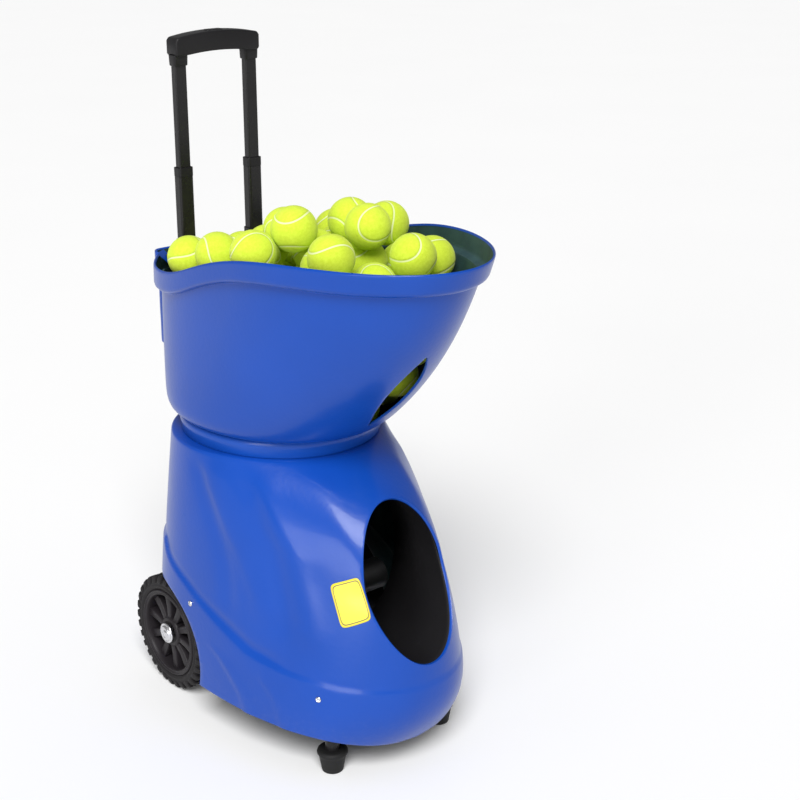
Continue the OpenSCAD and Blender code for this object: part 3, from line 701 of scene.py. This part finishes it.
# %% Felt with a seam
def ball_felt():
    f = Finish("ball_felt", sheen_weight=0.35, sheen_roughness=0.5, specular_ior_level=0.2)
    f.shader.inputs["Sheen Tint"].default_value = (0.9, 1.0, 0.4, 1)
    spot = f.start.add("ShaderNodeAttribute", {"attribute_name": "ball_co"}, out=1)
    x, y, z = spot.xyz()
    value = x * y - (z ** 3) * 0.19245
    slope = (x * x + y * y + (z * z) * (z * z) * 0.3333 - (value * 2.6) ** 2).sqrt()
    away = abs(value) / (slope + 0.02)
    seam = 1 - away.step(0.026, 0.044)
    groove_dip_and_shade = 1 - away.step(0.03, 0.12)
    own = f.start.add("ShaderNodeTexNoise", {}, {"Vector": spot, "Scale": 7.0, "Detail": 5.0, "Roughness": 0.7})
    fuzz = f.start.add("ShaderNodeTexNoise", {}, {"Vector": spot, "Scale": 60.0, "Detail": 4.0, "Roughness": 0.8})
    felt = (own * 0.5 + fuzz * 0.5).step(0.3, 0.7).mix((0.55, 0.70, 0.030), (0.70, 0.86, 0.070))
    # Beside the seam the felt is darkened: painted shade in the groove, which the bump also dips.
    f.feed("Base Color", seam.mix((groove_dip_and_shade * 0.35).mix(felt, (0.42, 0.54, 0.03)), (0.76, 0.84, 0.42)))
    f.feed("Roughness", 0.95 - seam * 0.3)
    f.bump(fuzz * (1 - seam) * 0.5 + (1 - groove_dip_and_shade) * 0.9, 0.0006)
    return keep("ball_felt", f)


ball_felt()


# %% Heap of balls
def ball_tree():
    tree, given = new_tree("ball_heap", {"Radius": ("Float", 0.03325), "Detail": ("Int", 4), "Seed": ("Int", 3),
                                         "Felt": ("Material", None)})
    start = Wire(tree)
    ball = start.add("GeometryNodeMeshIcoSphere", {}, {"Radius": given["Radius"], "Subdivisions": given["Detail"]})
    spot = start.add("GeometryNodeInputPosition")
    unit = start.add("ShaderNodeVectorMath", {"operation": "NORMALIZE"}, {0: spot})
    ball = start.add("GeometryNodeStoreNamedAttribute", {"data_type": "FLOAT_VECTOR", "domain": "POINT"},
                     {"Geometry": ball, "Name": "ball_co", "Value": unit})
    turn = start.add("FunctionNodeRandomValue", {"data_type": "FLOAT_VECTOR"},
                     {0: (0, 0, 0), 1: (6.283, 6.283, 6.283), "Seed": given["Seed"]})
    balls = start.add("GeometryNodeInstanceOnPoints", {}, {"Points": given["Geometry"], "Instance": ball,
                                                            "Rotation": turn})
    end_tree(tree, balls, given["Felt"])
    return tree


def ball_centres():
    """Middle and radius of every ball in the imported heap, from the separate islands of its mesh."""
    bm = bmesh.new()
    bm.from_mesh(frame["nodes"]["tennis_balls"].data)
    bmesh.ops.remove_doubles(bm, verts=bm.verts, dist=1e-5)
    seen, centres, radii = set(), [], []
    for first in bm.verts:
        if first in seen:
            continue
        island, queue = [], [first]
        seen.add(first)
        while queue:
            v = queue.pop()
            island.append(v.co[:])
            for e in v.link_edges:
                w = e.other_vert(v)
                if w not in seen:
                    seen.add(w)
                    queue.append(w)
        p = np.array(island)
        fit = np.linalg.lstsq(np.column_stack([2 * p, np.ones(len(p))]), (p ** 2).sum(1), rcond=None)[0]
        centres.append(fit[:3])
        radii.append(float(np.sqrt(fit[3] + (fit[:3] ** 2).sum())))
    bm.free()
    return np.array(centres), float(np.median(radii))


def top_up(centres, radius):
    """Drops a few more balls into the hollows of the heap's top, in millimetres about the neck."""
    balls = centres * 1000 - (0, NECK_Y, 0)
    x, y = [g.ravel() for g in np.meshgrid(np.arange(-126, 127, 4.0), np.arange(-370, 140, 4.0))]
    far = 0.762 * x - 0.647 * y
    lift = 262 - 0.25 * np.maximum(0, 60 - far) - 0.75 * np.maximum(0, far - 200)
    cap = np.minimum(808 - 45 * (x / 150) ** 2 - 0.55 * np.maximum(0, -190 - y),
                     492 + (lift - 0.219 * x - 0.258 * y) / 0.941) + 9
    clear, inset = 2 * radius * 1000 + 0.3, radius * 1000 + 5.5
    while True:
        gap = (x[:, None] - balls[:, 0]) ** 2 + (y[:, None] - balls[:, 1]) ** 2
        rest = np.where(gap < clear ** 2, balls[:, 2] + np.sqrt(np.maximum(clear ** 2 - gap, 0)), 0).max(1)
        grown = 1 - np.exp(-(rest - HOP_Z) / 190)
        centre = -0.49 * (rest - HOP_Z)
        front, rear = 188 + 247 * grown + 51 * grown ** 2 + centre - inset * 1.15, 189 - centre - inset
        v = y - centre
        power = np.where(v < 0, 2, 2 + grown)
        half, reach = 165.6 - 6 * grown - inset, np.where(v < 0, front, rear)
        inside = (np.abs(x) / half) ** power + (np.abs(v) / reach) ** power < 1
        good = inside & (rest > 640) & (rest < cap) & ~((np.abs(x) < 112) & (y > 97))
        if not good.any():
            break
        k = np.flatnonzero(good)[np.argmin(rest[good])]
        balls = np.vstack([balls, [x[k], y[k], rest[k]]])
    print("balls dropped on top:", len(balls) - len(centres))
    return (balls + (0, NECK_Y, 0)) * 0.001


centres, ball_radius = ball_centres()
centres = top_up(centres, ball_radius)
heap = grow("balls", ball_tree(), {"Radius": ball_radius, "Seed": 3, "Felt": finishes["ball_felt"]}, centres)
dress(heap, "loose_balls", ["tennis_balls"])
print("balls:", len(centres), "radius mm:", round(ball_radius * 1000, 2))

# %% [markdown]
# ## Turned parts and the wheels
# Tyres, rims, hub caps and feet are turned shapes: a profile of radius and height swept round an axis. Where the
# profile starts and ends on the axis it closes with a fan, and otherwise its last ring joins the first.

# %% Turned parts
def turned(profile, cols=96):
    turn = np.linspace(0, 2 * np.pi, cols, endpoint=False)
    rings = [q for q in profile if q[0] > 0]
    points = [(r * np.cos(a), r * np.sin(a), h) for r, h in rings for a in turn]
    on_axis = profile[0][0] == 0
    faces = grid_faces(len(rings), cols, wrap_rows=not on_axis)
    if on_axis:
        top = (len(rings) - 1) * cols
        points += [(0, 0, profile[0][1]), (0, 0, profile[-1][1])]
        for k in range(cols):
            q = (k + 1) % cols
            faces += [[q, k, len(points) - 2], [top + k, top + q, len(points) - 1]]
    return np.array(points, float), faces


def loose_mesh(name, points, faces, material):
    """A mesh object in its own small frame, in metres, before it is copied to its place."""
    mesh = bpy.data.meshes.new(name)
    mesh.from_pydata((np.asarray(points) * 0.001).tolist(), [], faces)
    mesh.materials.append(material)
    mesh.polygons.foreach_set("use_smooth", [True] * len(mesh.polygons))
    obj = bpy.data.objects.new(name, mesh)
    scene.collection.objects.link(obj)
    return obj


# %% [markdown]
# A wheel repeats two things: lugs round the tread and spokes round the hub. One tree copies whatever mesh it is
# given round the X axis. Each wheel part is made once about its hub and then put on both ends of the axle, the
# left one mirrored with its faces turned back.

# %% Copies round an axle
def round_tree():
    tree, given = new_tree("copies_round_axle", {"Count": ("Int", 10), "Start": ("Float", 0.0),
                                                 "Paint": ("Material", None)})
    start = Wire(tree)
    centre = start.add("GeometryNodePoints", {}, {"Count": given["Count"]})
    turn = start.add("GeometryNodeInputIndex") * 6.283185 / given["Count"] + given["Start"]
    copies = start.add("GeometryNodeInstanceOnPoints", {}, {
        "Points": centre, "Instance": given["Geometry"],
        "Rotation": start.add("ShaderNodeCombineXYZ", {}, {"X": turn})})
    end_tree(tree, copies, given["Paint"])
    return tree


copies_round_axle = round_tree()


def on_wheels(part, node=None, width=0.0):
    for side, word in ((1, "right"), (-1, "left")):
        mesh = part.data.copy()
        co = np.empty(len(mesh.vertices) * 3)
        mesh.vertices.foreach_get("co", co)
        co = co.reshape(-1, 3) * (side, 1, 1) + (0, (AXLE_Y + NECK_Y) * 0.001, AXLE_Z * 0.001)
        mesh.vertices.foreach_set("co", co.ravel())
        if side < 0:
            mesh.flip_normals()
        obj = bpy.data.objects.new(word + "_" + part.name, mesh)
        scene.collection.objects.link(obj)
        dress(obj, word + "_wheel", [word + "_" + node] if node else ())
        if width:
            finish_edges(obj, width, 2, 30)
    bpy.data.objects.remove(part)


def axial(points):
    """Turns a part made about an upright axis to lie along X."""
    return np.asarray(points)[:, [2, 0, 1]]


# %% Tyres with two rows of lugs
points, faces = turned([(73, 124), (75, 122.8), (80, 121.6), (86, 122.5), (89, 125), (90.2, 129), (90.2, 151),
                        (89, 155),
                        (86.5, 157.4), (83, 158.2), (81.6, 157.5), (80.2, 158.6), (78, 158.9), (76.6, 158.0),
                        (75, 157.2), (73, 156)], 128)
on_wheels(loose_mesh("tyre", axial(points), faces, finishes["tyre_rubber"]), "tyre")


def lug(section, foot=5.2, crown=4.2):
    """A block over a section of (x, radius) points, a little narrower at its crown."""
    n = len(section)
    points = [(x, r, side * (foot + (crown - foot) * (r - 84) / 12)) for side in (-1, 1) for x, r in section]
    faces = [[k, (k + 1) % n, n + (k + 1) % n, n + k] for k in range(n)]
    return points, faces + [list(range(n))[::-1], list(range(n, 2 * n))]


LUG_OUTER = [(142, 88), (142, 94.6), (143.4, 96), (153.5, 96), (156.6, 94), (159.0, 88), (158.6, 83.5), (154, 87)]
LUG_INNER = [(280 - x, r) for x, r in LUG_OUTER][::-1]
for name, section, start in (("lugs_outer", LUG_OUTER, 0.0), ("lugs_inner", LUG_INNER, 0.098)):
    points, faces = lug(section)
    lugs = grow(name, copies_round_axle, {"Count": 32, "Start": start, "Paint": finishes["tyre_rubber"]},
                np.array(points) * 0.001, faces)
    on_wheels(lugs, None, 0.7)

# %% Rims, hubs and spokes
points, faces = turned([(62.5, 128), (64.5, 124), (72.5, 124), (73.2, 126), (73.2, 154), (72.6, 157.2), (71, 158.6),
                        (69.8, 158.6), (68.8, 157.2), (67.6, 156.8), (66.6, 157.6), (65.4, 157.6), (64.4, 156.2),
                        (63.4, 152), (62.6, 144)], 128)
on_wheels(loose_mesh("rim", axial(points), faces, finishes["wheel_plastic"]), "wheel_rim")
points, faces = turned([(8.4, 116), (20, 116), (21, 118), (21, 128), (24, 131), (25.5, 149), (24.8, 152), (22, 153.6),
                        (18.6, 154), (18, 153.2), (8.4, 153.2)], 96)
on_wheels(loose_mesh("hub", axial(points), faces, finishes["wheel_plastic"]))


def spoke():
    """A tapered bar from hub to rim; its outer face dips a little towards the rim."""
    points = [(x, r, side * half) for r, half, face in ((22, 5.2, 151.5), (40, 6.2, 150), (63.5, 7.4, 151))
              for x, side in ((130, -1), (face, -1), (face, 1), (130, 1))]
    faces = [[4 * k + j, 4 * k + (j + 1) % 4, 4 * k + 4 + (j + 1) % 4, 4 * k + 4 + j]
             for k in (0, 1) for j in range(4)]
    return points, [f[::-1] for f in faces] + [[0, 1, 2, 3], [11, 10, 9, 8]]


points, faces = spoke()
spokes = grow("spokes", copies_round_axle, {"Count": 10, "Start": 0.2, "Paint": finishes["wheel_plastic"]},
              np.array(points) * 0.001, faces)
on_wheels(spokes, None, 1.8)

# %% Hub caps and feet
points, faces = turned([(0, 161.2), (8.4, 161.2), (8.4, 156.4), (16.4, 156.4), (17.2, 157.2), (17.2, 159.2),
                        (16.2, 160.7),
                        (14.8, 161), (14, 160.1), (13, 160.3), (12.4, 161.8), (11, 163.1), (8.6, 163.4), (7.8, 162.5),
                        (6, 162.6), (5.2, 163.6), (3, 164.1), (0, 164.3)], 64)
on_wheels(loose_mesh("cap", axial(points), faces, finishes["bright_steel"]), "hub_cap")

FOOT_X, FOOT_Y = 106.0, -260.0
points, faces = turned([(0, 0), (14, 0), (15.8, 0.8), (16.6, 2.6), (17.4, 8), (20.3, 24), (21.2, 27),
                        (23, 29.6), (23.4, 32),
                        (22.6, 34.6), (20.6, 36.2), (17, 36.4), (13.6, 35.6), (0, 35.6)], 64)
pair = np.vstack([points + (side * FOOT_X, FOOT_Y, 0) for side in (-1, 1)])
place_mesh("feet", pair, faces + [[k + len(points) for k in f] for f in faces], finishes["grey_rubber"], "machine",
           ["foot_rubbers"])

# %% [markdown]
# ## The launch tunnel
# Behind the oval opening a black liner leads back to the launch wheels. Its mouth follows the inside of the
# curved shell, so each point of the oval is pushed forward until it meets the wall.

# %% Launch tunnel
def front_inside(x, z, inset):
    """How far forward the inside of the shell reaches at (x, z), less an inset."""
    width, front, _, power, _ = shell_plan(z)
    return (front - inset) * np.maximum(1 - (np.abs(x) / (width - inset)) ** power, 0) ** (1 / power)


WALL_INSET, TUNNEL_END = 5.0, -190.0


def build_tunnel(cols=144):
    a = np.linspace(0, 2 * np.pi, cols, endpoint=False)
    # each ring: how much wider than the opening it is, and how far behind the wall it lies
    profile = [(6.5, 2.0), (6.5, 0.2), (4.4, -0.4), (2.6, -0.2), (1.6, 1.2), (1.4, 9.0), (1.2, 40.0),
               (0.2, None), (5.0, None), (5.6, 40.0), (6.2, 11.0)]
    rows = []
    for wider, behind in profile:
        x, z = (OVAL_A + wider) * np.cos(a), OVAL_Z + (OVAL_B + wider) * np.sin(a)
        y = TUNNEL_END + 0 * x if behind is None else behind - front_inside(x, z, WALL_INSET)
        rows.append(np.stack([x, y, z], -1))
    faces = [f[::-1] for f in grid_faces(len(rows), cols, wrap_rows=True)]
    tunnel = place_mesh("launch_tunnel", rows, faces, finishes["black_plastic"], "machine",
                        ["muzzle_liner"])
    print("tunnel:", len(tunnel.data.polygons), "faces")


build_tunnel()

# %% [markdown]
# ## Screws
# Pan-head screws hold the shell, the liner and the control panel. One head, with a cross pressed into its dome,
# is placed on every screw point by a tree that turns it to the surface there.

# %% Screw heads
def screw_head(radius=4.6, dome=2.6, rings=14, cols=48):
    profile = [(0.0, -1.0), (radius, -1.0), (radius, 0.3)]
    profile += [(radius * np.cos(a), 0.3 + dome * np.sin(a) ** 0.8) for a in np.linspace(0.12, 1.5, rings)]
    points, faces = turned(profile + [(0.0, 0.3 + dome)], cols)
    x, y = np.abs(points[:, :2]).T
    arm = np.minimum(ease((1.0 - np.minimum(x, y)) / 0.5), ease((2.9 - np.maximum(x, y)) / 0.5))
    points[:, 2] -= np.where(points[:, 2] > 0.3, 1.5 * arm, 0)
    return loose_mesh("screw_head", points, faces, finishes["bright_steel"])


def screw_tree():
    tree, given = new_tree("screws_on_points", {"Head": ("Object", None), "Paint": ("Material", None)})
    start = Wire(tree)
    way = start.add("GeometryNodeInputNamedAttribute", {"data_type": "FLOAT_VECTOR"}, {"Name": "facing"})
    size = start.add("GeometryNodeInputNamedAttribute", {"data_type": "FLOAT_VECTOR"}, {"Name": "size"})
    turn = start.add("FunctionNodeAlignRotationToVector", {"axis": "Z"}, {"Vector": way})
    head = start.add("GeometryNodeObjectInfo", {}, {"Object": given["Head"]}, out="Geometry")
    end_tree(tree, start.add("GeometryNodeInstanceOnPoints", {}, {
        "Points": given["Geometry"], "Instance": head, "Rotation": turn, "Scale": size}), given["Paint"])
    return tree


def facing(surface, t, z):
    across = surface(t + 0.01, z) - surface(t - 0.01, z)
    along = surface(t, z + 0.5) - surface(t, z - 0.5)
    n = np.cross(across, along)
    return n / np.linalg.norm(n, axis=-1, keepdims=True)


def put_screws():
    spots, ways, sizes = [], [], []
    for degrees, z in ((181.6, 205), (225.1, 134)):
        t, z = np.radians(degrees) + np.zeros(1), np.zeros(1) + z
        p, n = shell_surface(t, z)[0], facing(shell_surface, t, z)[0]
        for side in (1, -1):
            spots.append(p * (side, 1, 1))
            ways.append(n * (side, 1, 1))
            sizes.append(1.0)
    panel_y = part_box("control_panel")[1].y * 1000 - NECK_Y
    for side in (-1, 1):
        for rise in (-1, 1):
            spots.append(np.array([side * 54.0, panel_y - 0.2, PANEL_Z + rise * 39.0]))
            ways.append(np.array([0.0, 1.0, 0.0]))
            sizes.append(0.6)
    head = screw_head()
    places = (np.array(spots) + (0, NECK_Y, 0)) * 0.001
    screws = grow("screws", screw_tree(), {"Head": head, "Paint": finishes["bright_steel"]}, places,
                  attributes={"facing": ways, "size": [[k] * 3 for k in sizes]})
    bpy.data.objects.remove(head)
    dress(screws, "machine", ["shell_screws"])


put_screws()

# %% [markdown]
# ## The yellow plate
# A small notice plate is stuck beside the opening. It is left blank but for a thin dark border. Rings of a rounded
# rectangle shrink to its middle, and every point is laid on the shell, so the plate bends with it.

# %% Notice plate
PLATE = np.array([[(-105, 306), (-77, 322)], [(-105, 245), (-75, 263)]], float)    # (x, z) of its corners


def plate_finish():
    f = Finish("notice_yellow", roughness=0.35, coat_weight=0.3, coat_roughness=0.1)
    ring = f.start.add("ShaderNodeAttribute", {"attribute_name": "ring"}, out=1).xyz()[0]
    line = ring.step(0.86, 0.875) * (1 - ring.step(0.905, 0.92))
    paper = f.noise(60, 4).mix((0.74, 0.60, 0.022), (0.84, 0.70, 0.035))
    f.feed("Base Color", (line * 0.9).mix(paper, (0.03, 0.028, 0.02)))
    f.bump(f.noise(700, 2), 0.00004)
    return keep("notice_yellow", f)


def build_plate(cols=72, rings=12):
    a = np.linspace(0, 2 * np.pi, cols, endpoint=False)
    c, s = np.cos(a), np.sin(a)
    edge = np.stack([np.sign(c) * np.abs(c) ** 0.25, np.sign(s) * np.abs(s) ** 0.25], -1)
    share = np.linspace(1, 0.02, rings)
    uv = (edge[None] * share[:, None, None]).reshape(-1, 2) * 0.5 + 0.5
    u, v = uv[:, 0:1], uv[:, 1:2]
    xz = (PLATE[1, 0] * (1 - u) + PLATE[1, 1] * u) * (1 - v) + (PLATE[0, 0] * (1 - u) + PLATE[0, 1] * u) * v
    width, _, _, power, _ = shell_plan(xz[:, 1])
    t = np.arccos(np.clip(np.abs(xz[:, 0]) / width, 0, 1) ** (power / 2)) + np.pi
    points = shell_surface(t, xz[:, 1], 0.5)
    faces = grid_faces(rings, cols) + [list(range((rings - 1) * cols, rings * cols))]
    plate = place_mesh("notice_plate", points, faces, plate_finish(), "machine")
    ring = plate.data.attributes.new("ring", "FLOAT_VECTOR", "POINT")
    ring.data.foreach_set("vector", np.repeat(share, cols)[:, None].repeat(3, 1).ravel())
    finish_edges(plate, wall=0.7, even=False)


build_plate()

# %% [markdown]
# ## Wheel wells
# Behind each arch the moulding turns in: a flat wall beside the wheel and a flat strip along the arch out to the
# shell. The strip needs the arch as a line, so angles about the two circles of the opening are walked in turn.

# %% Wheel wells
WELL_WALL, WELL_GAP = 104.0, 1.6


def build_wells():
    line = []
    for middle_y, middle_z, radius, degrees in ((76, 98, 110, range(-12, 84, 4)),
                                                (AXLE_Y, AXLE_Z, ARCH_R, range(82, 141, 4))):
        a, r = np.radians(degrees), radius + WELL_GAP
        line += list(zip(middle_y - r * np.cos(a), middle_z + r * np.sin(a)))
    y, z = np.array(line).T
    width, reach_front, reach_rear, power_front, power_rear = shell_plan(z)
    reach, power = np.where(y < 0, reach_front, reach_rear), np.where(y < 0, power_front, power_rear)
    outer = (width - 3) * np.maximum(1 - (np.abs(y) / (reach - 3)) ** power, 0) ** (1 / power)
    kept = outer > WELL_WALL + 6     # past the rear of the shell there is nothing to line
    y, z, outer = y[kept], z[kept], outer[kept]
    points, faces = [], []
    for side in (-1, 1):
        base, n = len(points) * len(y), len(y)
        rows = [np.stack([side * (WELL_WALL + (outer - WELL_WALL) * share), y, z], -1) for share in (0, 0.5, 1)]
        quads = grid_faces(3, n, wrap_cols=False)
        faces += [[base + k for k in (f if side > 0 else f[::-1])] for f in quads]
        wall = [base + k for k in range(n)]
        faces.append(wall[::-1] if side > 0 else wall)
        points += rows
    wells = place_mesh("wheel_wells", points, faces, finishes["black_plastic"], "machine",
                       ["wheel_guards"], smooth=False)
    finish_edges(wells, wall=2.0, even=False)


build_wells()

# %% [markdown]
# ## Pull handle
# The grip is one moulding: a crowned bar over two short sockets that take the tubes. Its outline is drawn once,
# from below, and pushed to its depth, and a Bevel softens it to the hand.

# %% Handle grip
def build_grip():
    base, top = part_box("handle_grip")[0].z * 1000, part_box("handle_grip")[1].z * 1000
    middle, tube_x, crown = 143.0, 63.5, 390.0
    end = tube_x + 11.5
    arc = [(x, top - crown + np.sqrt(crown ** 2 - x ** 2)) for x in np.linspace(end - 3, 3 - end, 25)]
    under = [(x, base + 15.5 + 3.0 * (1 - (x / 50) ** 2)) for x in np.linspace(-50, 50, 15)]
    outline = under + [(end - 2, base + 14), (end, base + 18), (end, arc[0][1] - 5)] + arc
    outline += [(-end, arc[-1][1] - 5), (-end, base + 18), (2 - end, base + 14)]
    n = len(outline)
    points = [(x, middle + side * 14.5, z) for side in (-1, 1) for x, z in outline]
    faces = [list(range(n)), list(range(2 * n - 1, n - 1, -1))]
    faces += [[(k + 1) % n, k, n + k, n + (k + 1) % n] for k in range(n)]
    bar = place_mesh("grip_bar", points, faces, finishes["black_plastic"], "handle_top",
                     ["handle_grip"])
    finish_edges(bar, 3.2, 4, 40)
    a = np.linspace(0, 2 * np.pi, 48, endpoint=False)
    c, s = np.cos(a), np.sin(a)
    ring = np.stack([np.sign(c) * np.abs(c) ** 0.4, np.sign(s) * np.abs(s) ** 0.4], -1)
    sockets, faces = [], []
    for side in (-1, 1):
        start = len(sockets) * 48
        for up, w, d in ((16, 9.9, 6.9), (0, 9.9, 6.9), (0, 11.4, 8.6), (1, 12, 9.2), (16, 12.6, 9.8)):
            sockets.append(np.stack([side * tube_x + w * ring[:, 0], middle + d * ring[:, 1], base + up + 0 * a], -1))
        faces += [[start + k for k in f] for f in grid_faces(5, 48)]
    place_mesh("grip_sockets", sockets, faces, finishes["black_plastic"], "handle_top")


build_grip()

# %% [markdown]
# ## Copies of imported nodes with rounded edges
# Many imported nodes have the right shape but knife-sharp edges. A copy is merged, its flat faces are joined, and a
# Bevel rounds it, so it catches light as a moulded or folded part does. It then stands for the node.

# %% Round the edges of a node
def rounded_node(node, width, steps=2, angle=40, material=None):
    mesh = frame["nodes"][node].data.copy()
    bm = bmesh.new()
    bm.from_mesh(mesh)
    bmesh.ops.remove_doubles(bm, verts=bm.verts, dist=2e-6)
    bmesh.ops.dissolve_limit(bm, angle_limit=np.radians(0.6), verts=bm.verts, edges=bm.edges)
    bm.to_mesh(mesh)
    bm.free()
    mesh.materials.clear()
    mesh.materials.append(material or finishes[slots[node]])
    mesh.polygons.foreach_set("use_smooth", [True] * len(mesh.polygons))
    obj = bpy.data.objects.new(node + "_rounded", mesh)
    scene.collection.objects.link(obj)
    dress(obj, body_of[node], [node])
    finish_edges(obj, width, steps, angle)
    m = obj.modifiers.new("shading", "WEIGHTED_NORMAL")
    m.keep_sharp = False
    return obj


for node, width in {"release_button": 1.6, "mid_collars": 0.8, "mid_tubes": 0.25,
                    "upper_tubes": 0.25, "handle_sleeves": 0.4, "handle_bracket": 0.8, "control_panel": 1.6,
                    "power_rocker": 0.5, "charge_socket": 0.5, "battery": 4.0, "side_plates": 0.6,
                    "yaw_table": 0.6, "head_frame": 0.6, "feed_disc": 2.0, "feeder_deck": 0.8,
                    "base_plate": 0.8, "foot_stems": 0.8}.items():
    rounded_node(node, width)

# %% The nodes that stay keep their shape and take their finish
for node, obj in frame["nodes"].items():
    if not obj.hide_render:
        obj.data.materials.clear()
        obj.data.materials.append(finishes.get(slots[node], blue_outside))
